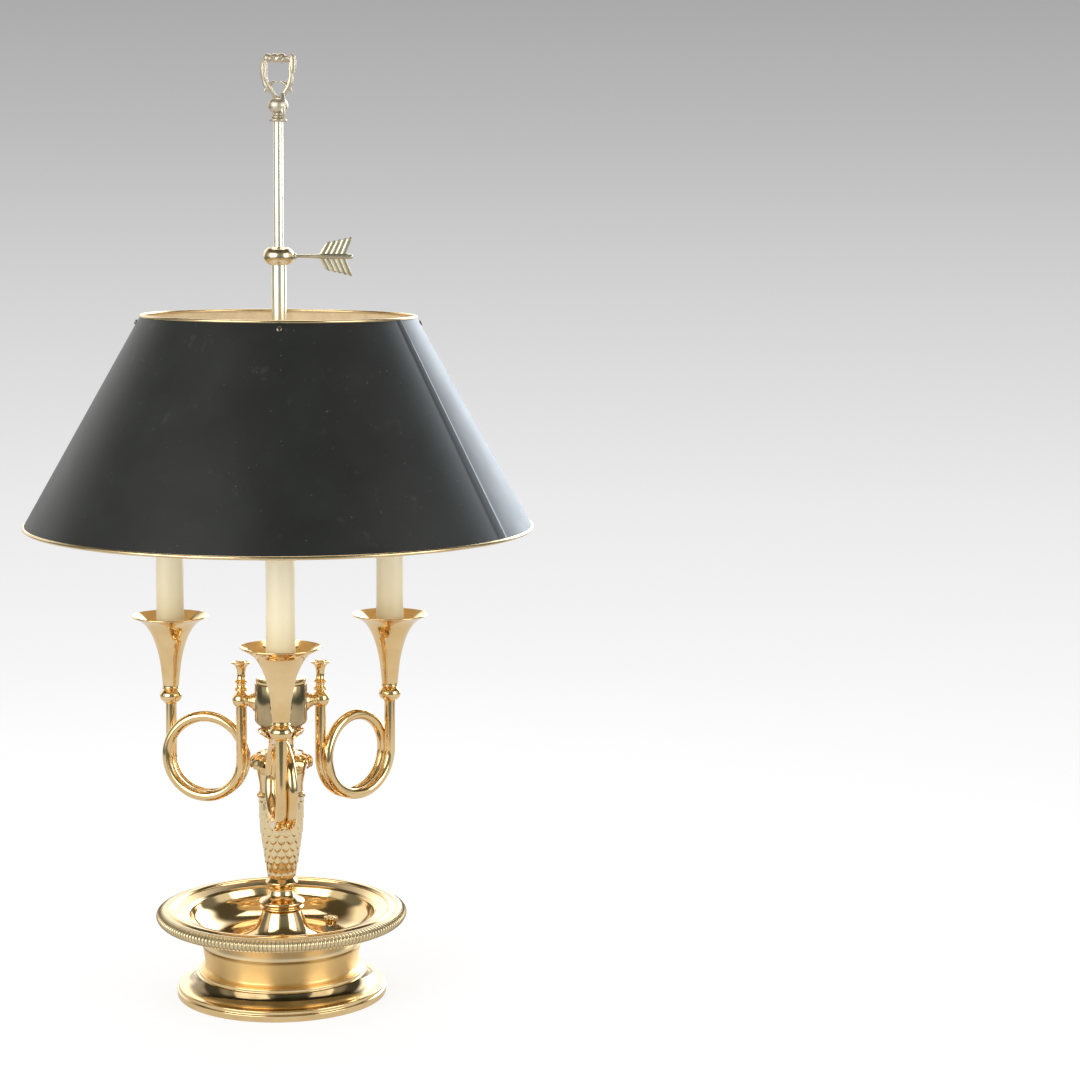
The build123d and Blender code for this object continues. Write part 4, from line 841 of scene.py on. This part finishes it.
def handle_parts():
    """Cast ring of leafy scrolls on a ball: a roped top, a blade on one side, and curled tips inside."""
    foot = low("ring_handle")
    top = high("ring_handle")
    wide = reach("ring_handle")
    ball = foot + 8.0
    ring_low = ball + 6.6
    base = Outline(0.0, 0.0, foot).to((3.5, 0.0)).arc((3.6, 1.4), -0.25, 3)
    base.at(ball).arc((4.2, 6.0), 0.78, 18).to((3.6, 7.2), (0.0, 7.6))

    def strand(points, thick, flat=0.8, relief=None, sides=16):
        """A tapering strand through points of (x, share of the ring's height, and y where it isn't 0)."""
        spots = [(x, y[0] if y else 0.0, ring_low + (top - ring_low) * share) for x, share, *y in points]
        radii = smooth_path([(radius, 0.0) for radius in thick], 8)
        last = len(radii) - 1
        return tube(
            smooth_path(spots, 8), lambda place: max(radii[round(place * last)].x, 0.12), sides, flat,
            (0, 1, 0), relief,
        )

    def rope(angle, place):
        return 0.55 * sin(angle * 2 + place * 26.0) * sin(pi * place)

    left = strand(
        [(-2.4, 0.02), (-5.8, 0.12), (-9.0, 0.24), (-11.4, 0.40), (-12.3, 0.58), (-11.6, 0.76), (-9.4, 0.88)],
        (1.6, 2.2, 2.9, 2.7, 3.2, 3.0, 2.4), 0.75,
    )
    left_ridge = strand(
        [
            (-8.0, 0.22, -1.4), (-11.2, 0.40, -2.0), (-12.8, 0.58, -2.1), (-12.2, 0.74, -1.9),
            (-9.6, 0.88, -1.2),
        ],
        (0.8, 1.4, 1.6, 1.5, 0.9),
    )
    crest = strand(
        [(-11.4, 0.79), (-8.6, 0.86), (-4.6, 0.865), (-0.6, 0.87), (3.6, 0.865), (7.4, 0.85), (10.8, 0.80)],
        (1.6, 3.6, 3.4, 3.6, 3.9, 3.0, 1.6), 0.8, rope, 20,
    )
    peaks = [
        strand([(x - 1.8, 0.84), (x, 0.93), (x + 0.6, share)], (2.9, 2.2, 0.4))
        for x, share in ((-8.4, 0.955), (-3.2, 0.945), (2.2, 0.975))
    ]
    blade = strand(
        [(11.0, 0.965), (12.4, 0.90), (12.9, 0.76), (12.6, 0.60), (11.9, 0.48), (11.2, 0.40)],
        (0.6, 2.4, 3.0, 2.6, 1.9, 0.9), 0.62,
    )
    right = strand(
        [(10.8, 0.82), (10.6, 0.66), (11.2, 0.50), (10.4, 0.34), (8.0, 0.20), (5.2, 0.08), (3.6, -0.06)],
        (1.4, 1.8, 2.2, 2.6, 2.3, 1.8, 1.9),
    )
    curls = [
        strand([(side * 8.8, 0.22), (side * 6.0, 0.30), (side * 3.0, 0.345), (side * 1.8, 0.32)],
               (1.9, 1.6, 1.0, 0.3))
        for side in (-1, 1)
    ]
    spurs = [
        strand([(side * 8.6, 0.25), (side * 10.8, 0.17), (side * 11.8, 0.09)], (1.6, 1.2, 0.5))
        for side in (-1, 1)
    ]
    tongues = [
        strand(points, (1.8, 2.6, 2.0, 0.4), 0.6)
        for points in (
            [(3.4, 0.08, -2.2), (3.9, -0.12, -5.2), (4.4, -0.32, -6.4), (5.2, -0.50, -5.6)],
            [(-2.6, 0.06, 2.6), (-3.0, -0.14, 5.8), (-3.2, -0.32, 6.6), (-2.8, -0.44, 6.0)],
        )
    ]
    whole = joined(
        turned(base, 96), left, left_ridge, crest, *peaks, blade, right, *curls, *spurs, *tongues
    )
    # the casting stays inside its node's box
    widest = max(abs(vertex.co.x) for vertex in whole.vertices) / MM
    if widest > wide:
        whole.transform(Matrix.Diagonal((wide / widest, 1.0, 1.0, 1.0)))
    tallest = max(vertex.co.z for vertex in whole.vertices) / MM
    whole.transform(Matrix.Translation((0, 0, min(0.0, top - 0.2 - tallest) * MM)))
    piece("handle_scrolls", whole, "ring_handle", finish=CAST, slot="pale_brass")


handle_parts()

# --- arms ---
LOOP_RADIUS = 35.3
LOOP_ADVANCE = 14.0     # how far the loop goes aside in its turn and a half
LOOP_TURNS = 1.5
LOOP_STEPS = 132
TUBE_RADIUS = 4.75
JOINT_BALL_RADIUS = 7.85
JOINT_DROP = 2.5        # from the finial's foot down to the middle of the joint's ball
TUBE_DROP = 5.0         # from the finial's foot down to the tube's upper end, inside the ball
TUBE_RISE = 3.0         # from the cup ball's foot up to the tube's other end
RISE_STEPS = 6
FINIAL_HEIGHT = 27.0
CUP_BALL_RADIUS = 9.75
BELL_WALL = 0.9
CANDLE_RADIUS = 12.0


def joint_parts(side, spot):
    """Ball with a beaded neck and a flange against the cluster's wall."""
    level = low(f"arm_finial_{side}") - JOINT_DROP
    start = cluster_radius - 2.0
    reach_in = spot.length - start
    neck = (
        Outline(0.0, 0.0).to((9.0, 0.0), (9.0, 2.6)).arc((9.2, 3.6), 0.5, 3).arc((7.4, 4.4), -0.2, 3)
        .arc((6.4, 5.2), -0.35, 3).arc((6.5, 6.9), 0.75, 6).arc((5.6, 7.5), -0.3, 3)
        .arc((5.7, 9.1), 0.75, 6).arc((5.0, 9.6), -0.3, 3)
        .to((4.9, reach_in - 4.0), (0.0, reach_in - 3.0))
    )
    lie_down = Matrix.Translation(Vector((start, 0, level)) * MM) @ Matrix.Rotation(pi / 2, 4, "Y")
    sphere = Outline(0.0, -JOINT_BALL_RADIUS, level).arc((0.0, JOINT_BALL_RADIUS), 1.0, 32)
    ball = turned(sphere, 64, (spot.length, 0, 0))
    onto_arm = Matrix.Rotation(atan2(spot.y, spot.x), 4, "Z")
    piece(
        f"joint_ball_{side}", moved(joined(moved(turned(neck, 72), lie_down), ball), onto_arm),
        f"arm_joint_{side}",
    )


def finial_parts(side, spot):
    """Valve-like finial: two thin rings, a knife-edged bead, a waist and a flared cup with a button in it."""
    finial = (
        Outline(0.0, -1.6, high(f"arm_finial_{side}") - FINIAL_HEIGHT).to((3.2, -1.2))
        .arc((5.7, 0.6), -0.2, 3).arc((5.7, 1.6), 0.6, 4).arc((5.7, 2.0), -0.5, 3)
        .arc((5.5, 3.0), 0.6, 4).curve((4.2, 4.0), (3.9, 5.4), (4.4, 6.8))
        .curve((5.6, 7.9), (6.5, 8.5), steps=3)
        .curve((5.4, 9.3), (4.0, 10.6), (3.5, 13.4), (3.6, 16.6), (4.4, 20.2), (6.0, 23.0))
        .curve((7.2, 24.0), (8.9, 24.6), steps=3).arc((8.8, 25.6), 0.7, 4)
        .curve((7.0, 25.9), (5.2, 25.0), steps=3).curve((4.0, 25.2), (3.0, 26.6), (0.0, FINIAL_HEIGHT))
    )
    lathe(f"finial_{side}", finial, f"arm_finial_{side}", 72, spot)


def horn_parts(side, start, end):
    """Round tube that drops from the joint, coils a turn and a half, and rises into the bell's ball."""
    twist = atan2(start.y, start.x) + atan2(LOOP_ADVANCE, 2 * LOOP_RADIUS)
    outward = Vector((cos(twist), sin(twist), 0))
    aside = Vector((sin(twist), -cos(twist), 0))
    level = low(f"arm_tube_{side}") + TUBE_RADIUS + LOOP_RADIUS
    centre = start + outward * LOOP_RADIUS
    top = low(f"arm_finial_{side}") - TUBE_DROP
    path = [Vector((start.x, start.y, top + (level - top) * k / RISE_STEPS)) for k in range(RISE_STEPS)]
    for k in range(LOOP_STEPS + 1):
        angle = FULL_TURN * LOOP_TURNS * k / LOOP_STEPS
        spot = centre - outward * (cos(angle) * LOOP_RADIUS) + aside * (LOOP_ADVANCE * k / LOOP_STEPS)
        path.append(Vector((spot.x, spot.y, level - sin(angle) * LOOP_RADIUS)))
    finish = low(f"cup_ball_{side}") + TUBE_RISE
    for k in range(1, RISE_STEPS + 1):
        path.append(Vector((end.x, end.y, level + (finish - level) * k / RISE_STEPS)))
    piece(f"horn_tube_{side}", tube(path, lambda place: TUBE_RADIUS, 28), f"arm_tube_{side}")


def bell_parts(side, spot):
    """Flattened ball and spun bell: a thin horn with a rolled lip, open inside."""
    ball_low = low(f"cup_ball_{side}")
    foot = high(f"cup_ball_{side}")
    half_height = (foot - ball_low) / 2
    cut = 58                # degrees above and below its equator at which the ball stops
    steps = 16
    ball = Outline(4.9, -0.6, ball_low).to((5.6, -0.2)).at(ball_low + half_height)
    for k in range(steps + 1):
        angle = radians(-cut + 2 * cut * k / steps)
        climb = half_height / sin(radians(cut)) * sin(angle)
        ball.to((CUP_BALL_RADIUS * cos(angle), climb))
    ball.at(foot).to((6.6, 0.4), (4.9, 0.4))
    lathe(f"bell_ball_{side}", ball, f"cup_ball_{side}", 72, spot, closed=True)

    tall = high(f"bell_cup_{side}") - foot
    edge = reach("bell_cup_front")
    outer = [
        (7.2, 4.5), (8.3, 15.5), (9.3, 23.6), (11.0, 32.0), (13.2, 40.0), (15.6, 46.6), (18.6, 52.2),
        (22.2, 57.2), (27.0, 61.0), (edge - 1.6, tall - 1.6),
    ]
    inner = [(radius - BELL_WALL, height + BELL_WALL * 0.75) for radius, height in outer[-2::-1]]
    bell = (
        Outline(4.6, 0.0, foot).to((7.4, 0.0)).arc((7.5, 1.2), 0.7, 4).to((7.1, 1.8))
        .curve(*outer, steps=5).arc((edge - 1.2, tall - 0.1), 0.85, 8).curve(*inner).to((4.6, 6.0))
    )
    lathe(f"bell_{side}", bell, f"bell_cup_{side}", 112, spot, closed=True)


def candle_parts(side, spot):
    """Candle cover: a thin sleeve, a little wider where it meets the bell, with a rounded top edge."""
    node = f"candle_cover_{side}"
    cover = (
        Outline(-0.8, 0.0, low(node), CANDLE_RADIUS).to((0.45, 0.0)).curve((0.4, 14.0), (0.0, 32.0))
        .at(high(node), CANDLE_RADIUS).to((-0.05, -0.5)).arc((-0.8, -0.1), 0.6, 4).to((-1.0, -2.0))
    )
    lathe(f"candle_{side}", cover, node, 72, spot, closed=True)


for side in SIDES:
    joint_spot = middle(f"arm_finial_{side}")
    cup_spot = middle(f"candle_cover_{side}")
    joint_parts(side, joint_spot)
    finial_parts(side, joint_spot)
    horn_parts(side, joint_spot, cup_spot)
    bell_parts(side, cup_spot)
    candle_parts(side, cup_spot)

# --- slide and key ---
sleeve_radius = reach("slide_sleeve")
sleeve = (
    Outline(rod_radius + 0.1, 0.0, low("slide_sleeve")).to((sleeve_radius, 0.0))
    .at(high("slide_sleeve")).to((sleeve_radius, 2.0), (rod_radius + 0.1, 2.0))
)
lathe("slide_pipe", sleeve, "slide_sleeve", 96, closed=True)

clamp_low = low("clamp_collar")
clamp_high = high("clamp_collar")
clamp_mid = (clamp_low + clamp_high) / 2
clamp = (
    Outline(rod_radius + 0.15, 0.4, clamp_low).to((6.4, 0.2), (7.6, 0.0)).arc((8.6, 0.5), 0.25, 3)
    .at(clamp_high).arc((8.6, -0.5), 0.66, 22).arc((7.6, 0.0), 0.25, 3)
    .to((5.6, -0.3), (rod_radius + 0.15, -0.3))
)
lathe("clamp_ball", clamp, "clamp_collar", 128, closed=True, finish=WORN)


def key_parts():
    """Arrow key: a thin stem, a thicker shaft, and a flight of five barbs above and below."""
    lowest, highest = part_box("arrow_key")
    root = lowest[0] / MM
    stem = 20.6             # from the root to the first barb
    count = 5
    pitch = 4.5
    root_height = 12.0
    tip_height = 17.0
    sweep = 6.2
    thick = 1.6
    rows = 15
    columns = 10
    blunt_from = 0.86       # share of the climb at which the end starts to round
    shaft = (
        Outline(0.0, -0.2, root).to((2.9, -0.2)).arc((2.4, 1.2), 0.5, 4)
        .curve((1.5, 2.4), (1.5, 8.0), steps=3).to((1.55, 15.0))
        .curve((1.9, stem - 2.0), (2.25, stem + 2.0))
        .at(highest[0] / MM - 1.6).to((2.25, -1.6)).arc((0.0, 0.0), QUARTER, 8)
    )
    lie = Matrix.Translation((0, 0, clamp_mid * MM)) @ Matrix.Rotation(pi / 2, 4, "Y")

    def barb(k, side):
        """A rounded ridge from the shaft to the edge, slanted back, with a rounded end."""
        points = []
        for face in (1, -1):
            for i in range(rows):
                climb = i / (rows - 1)
                blunt = (max(0.0, climb - blunt_from) / (1.0 - blunt_from)) ** 2
                for j in range(columns):
                    t = 2.0 * j / (columns - 1) - 1.0
                    crown = thick * (0.45 + 0.55 * cos(t * pi / 2) ** 0.8) * (1.0 - 0.55 * blunt)
                    height = root_height + (tip_height - root_height) * (k + 0.5 + 0.5 * t) / count
                    x = root + stem + pitch * (k + 0.5 + 0.5 * t * (1.0 - 0.25 * blunt)) + sweep * climb
                    z = clamp_mid + side * (1.2 + (height - 1.2) * climb - 0.9 * blunt * t * t)
                    points.append((x, face * crown / 2, z))
        return plate(points, rows, columns)

    barbs = [barb(k, side) for k in range(count) for side in (1, -1)]
    piece("arrow", joined(moved(turned(shaft, 48), lie), *barbs), "arrow_key", finish=ARROW, sharp=30)


key_parts()

# --- shade ---
LOW_WIRE = 1.7
HIGH_WIRE = 1.5
SEAM_WIDTH = radians(3.3)
LAP_HEIGHT = 0.75
rim_low_radius = reach("shade_rim_bottom") - LOW_WIRE
rim_high_radius = reach("shade_rim_top") - HIGH_WIRE
shade_low = low("shade_rim_bottom") + LOW_WIRE
shade_high = high("shade_rim_top") - HIGH_WIRE


def shade_radius(height):
    """Radius of the middle of the sheet at a level."""
    taper = rim_high_radius - rim_low_radius
    return rim_low_radius + taper * (height - shade_low) / (shade_high - shade_low)


def lap(angle, height, place):
    """On the outer face, the sheet's free edge at the seam stands proud and dies away on the other side."""
    away = (SEAM_ANGLE - angle) % FULL_TURN
    if away > SEAM_WIDTH or place >= 0.5:
        return 0.0
    return LAP_HEIGHT * (1.0 - away / SEAM_WIDTH) ** 0.6


def shade_skin(offset, thickness, steps, relief=None):
    """A thin conical skin at an offset outward from the middle of the sheet."""
    rows = 24
    levels = [shade_low + (shade_high - shade_low) * k / rows for k in range(rows + 1)]
    skin = Outline(shade_radius(shade_low), shade_low, 0.0, offset)
    skin.to(*[(shade_radius(height), height) for height in levels[1:]])
    skin.at(0.0, offset - thickness).to(*[(shade_radius(height), height) for height in reversed(levels)])
    return turned(skin, steps, closed=True, relief=relief)


piece("shade_outside", shade_skin(0.4, 0.4, 720, lap), "shade_shell")
piece("shade_lining", shade_skin(0.0, 0.3, 256), "shade_shell", finish=gold_paint(), slot="wire_brass")


def wire(name, radius, height, thick, node):
    """Wired edge: a round wire with the sheet rolled over it."""
    ring = Outline(0.0, -thick, height, radius).arc((0.0, thick), 1.0, 10).arc((0.0, -thick), 1.0, 10)
    ring.points.pop()
    lathe(name, ring, node, 360, closed=True)


wire("edge_wire_low", rim_low_radius, shade_low, LOW_WIRE - 0.05, "shade_rim_bottom")
wire("edge_wire_high", rim_high_radius, shade_high, HIGH_WIRE - 0.05, "shade_rim_top")


def screw_parts():
    """Slotted round-headed screws through the shade into the spider's tabs."""
    slot_half_width = 0.42
    slot_depth = 0.75
    slot_from = 0.9         # what stands above this level of the head's axis is cut
    proud = 0.45            # from the middle of the sheet out to the head's seat
    level = (low("shade_screws") + high("shade_screws")) / 2 + 0.6
    slope = atan2(rim_low_radius - rim_high_radius, shade_high - shade_low)
    head = Outline(0.0, -3.0).to((1.5, -3.0), (1.5, 0.4), (2.55, 0.5)).arc((2.3, 1.1), 0.2, 3)
    head.curve((1.5, 1.55), (0.0, 1.8))
    lean = Matrix.Rotation(pi / 2 - slope, 4, "Y")
    stand = Matrix.Translation(Vector((shade_radius(level) + proud, 0, level)) * MM)
    heads = []
    for k in range(4):
        mesh = turned(head, 40)
        for vertex in mesh.vertices:
            if vertex.co.z > slot_from * MM and abs(vertex.co.y) < slot_half_width * MM:
                vertex.co.z -= slot_depth * MM
        spin = Matrix.Rotation(0.5 + k, 4, "Z")
        heads.append(moved(mesh, Matrix.Rotation(FULL_TURN * k / 4, 4, "Z") @ stand @ lean @ spin))
    piece("shade_screw_heads", joined(*heads), "shade_screws", finish=DULL, slot="polished_brass")


screw_parts()

# --- camera, floor and light ---
CAMERA_DISTANCE = 2.1844
CAMERA_HEIGHT = 0.68255
CAMERA_PAN = radians(5.873)
CAMERA_PITCH = radians(7.375)
CAMERA_ROLL = radians(0.478)
FOCAL_PIXELS = 2547.6
PICTURE_PIXELS = 1080
SENSOR = 36.0
FLOOR_RADIUS = 2.3
FLOOR_LEVEL = -0.0002   # just under the felt
FLOOR_SIDES = 96
LAMP_MIDDLE = Vector((0, 0, 0.42))


def make_camera():
    data = bpy.data.cameras.new("camera")
    data.sensor_width = SENSOR
    data.lens = SENSOR * FOCAL_PIXELS / PICTURE_PIXELS
    data.clip_end = 60.0
    camera = new_object("camera", data)
    camera.location = (0, -CAMERA_DISTANCE, CAMERA_HEIGHT)
    turn = Matrix.Rotation(-CAMERA_PAN, 4, "Z") @ Matrix.Rotation(pi / 2 - CAMERA_PITCH, 4, "X")
    camera.rotation_euler = (turn @ Matrix.Rotation(CAMERA_ROLL, 4, "Z")).to_euler()
    bpy.context.scene.camera = camera


def make_floor():
    """Pale round floor that fades into the backdrop, and keeps a faint shadow."""
    turns = [FULL_TURN * k / FLOOR_SIDES for k in range(FLOOR_SIDES)]
    mesh = bpy.data.meshes.new("floor")
    mesh.from_pydata(
        [(FLOOR_RADIUS * cos(turn), FLOOR_RADIUS * sin(turn), FLOOR_LEVEL) for turn in turns],
        [], [tuple(range(FLOOR_SIDES))],
    )
    n = Nodes(bpy.data.materials.new("studio_floor"), bare=True)
    x, y, _ = n.axes()
    rays = n.add("LightPath").outputs
    camera, metal, glass = (rays[f"Is {kind} Ray"] for kind in ("Camera", "Glossy", "Transmission"))
    # the table's edges, which only the metal sees
    front_edge = n.share(n.times(y, -1.0), 0.90, 1.02)
    side_edge = n.share(n.maths("ABSOLUTE", x), 1.20, 1.36)
    edges = n.maths("MAXIMUM", n.maths("MAXIMUM", front_edge, side_edge), n.share(y, 1.0, 1.8))
    distance = n.out("VectorMath", operation="LENGTH", Vector=n.place)
    haze = n.minus(n.share(distance, 0.45, 1.7), edges)
    fade = n.maths("ADD", edges, n.times(haze, camera))
    matte = n.out("BsdfDiffuse", Color=(0.86, 0.86, 0.86))
    # the metal sees the table a little darker than the camera does
    strength = n.maths("ADD", n.times(camera, 0.36), 0.72)
    glow = n.out("Emission", Color=(1, 1, 1), Strength=strength)
    seen = n.maths("MAXIMUM", n.maths("MAXIMUM", camera, metal), glass)
    lit = n.either(n.times(seen, 0.72), matte, glow)
    clear = n.out("BsdfTransparent")
    n.add("OutputMaterial", Surface=n.either(fade, lit, clear))
    mesh.materials.append(n.owner)
    new_object("floor", mesh)


def make_world():
    """Backdrop from white at the floor to grey above; metal sees a darker room in front and above."""
    n = Nodes(bpy.data.worlds.new("studio"), "Generated", bare=True)
    bpy.context.scene.world = n.owner
    x, y, sine = n.axes()       # sine is that of the elevation

    # sine of the elevation against linear grey
    top = 0.40
    greys = (
        (-0.40, 1.0), (-0.27, 1.0), (-0.19, 0.95), (-0.113, 0.83), (-0.035, 0.66), (0.03, 0.50),
        (0.085, 0.395), (0.40, 0.30),
    )
    stops = [((mark + top) / (2 * top), (grey,) * 3) for mark, grey in greys]
    backdrop = n.ramp(n.span(sine, -top, top), *stops)

    # what metal sees round the lamp, by azimuth in degrees from the front, positive to the right
    compass = n.span(n.maths("ARCTAN2", x, n.times(y, -1.0)), -pi, pi)

    def around(*stops):
        """A colour by azimuth."""
        return n.ramp(compass, *[((azimuth + 180.0) / 360.0, colour) for azimuth, colour in stops])

    white = (0.84, 0.84, 0.82)
    grey = (0.20, 0.21, 0.20)
    haze = (1.25, 1.25, 1.23)
    dusk = (0.13, 0.17, 0.18)
    gap = (0.20, 0.25, 0.25)
    sky_blue = (4.3, 4.75, 5.25)
    olive = (0.085, 0.078, 0.055)
    black = (0.0, 0.0, 0.0)
    glare = (1.0, 1.0, 1.0)
    level = around(
        (-180, white), (-158, white), (-150, haze), (-128, haze), (-120, grey), (-94, grey), (-86, white),
        (-14, white), (-8, gap), (34, gap), (40, white), (90, white), (98, grey), (122, grey),
        (131, sky_blue), (160, sky_blue), (170, white),
    )
    below = around((-180, white), (-152, white), (-140, dusk), (136, dusk), (150, white), (180, white))
    behind = around((-180, glare), (-166, glare), (-150, black), (130, black), (140, glare), (180, glare))
    room = n.mix(n.share(sine, -0.12, -0.02), below, level)
    room = n.mix(n.share(sine, 0.42, 0.66), room, olive)
    room = n.mix(1.0, room, n.mix(n.band(sine, 0.05, 0.14, 0.36, 0.50), black, behind), "ADD")

    def glow(colour, strength=1.0):
        return n.out("Background", Color=colour, Strength=strength)

    rays = n.add("LightPath").outputs
    sky = glow((1, 1, 1), 0.66)
    for kind, view in (("Glossy", room), ("Transmission", backdrop), ("Camera", backdrop)):
        sky = n.either(rays[f"Is {kind} Ray"], sky, glow(view))
    n.add("OutputWorld", Surface=sky)


def softbox(name, azimuth, height, distance, width, tall, power):
    """Rectangular soft light aimed at the lamp; azimuth in degrees from the front, positive to the right."""
    data = bpy.data.lights.new(name, "AREA")
    data.shape = "RECTANGLE"
    data.size = width
    data.size_y = tall
    data.energy = power
    angle = radians(azimuth)
    light = new_object(name, data)
    light.location = (sin(angle) * distance, -cos(angle) * distance, height)
    light.rotation_euler = (LAMP_MIDDLE - light.location).to_track_quat("-Z", "Y").to_euler()


make_camera()
make_floor()
make_world()
softbox("softbox_left", -43, 1.05, 2.3, 2.0, 1.7, 34)
softbox("softbox_right", 56, 0.95, 2.3, 1.3, 1.5, 18)
softbox("softbox_top", 180, 2.6, 1.0, 1.6, 1.6, 20)

bpy.context.scene.view_settings.view_transform = "Standard"
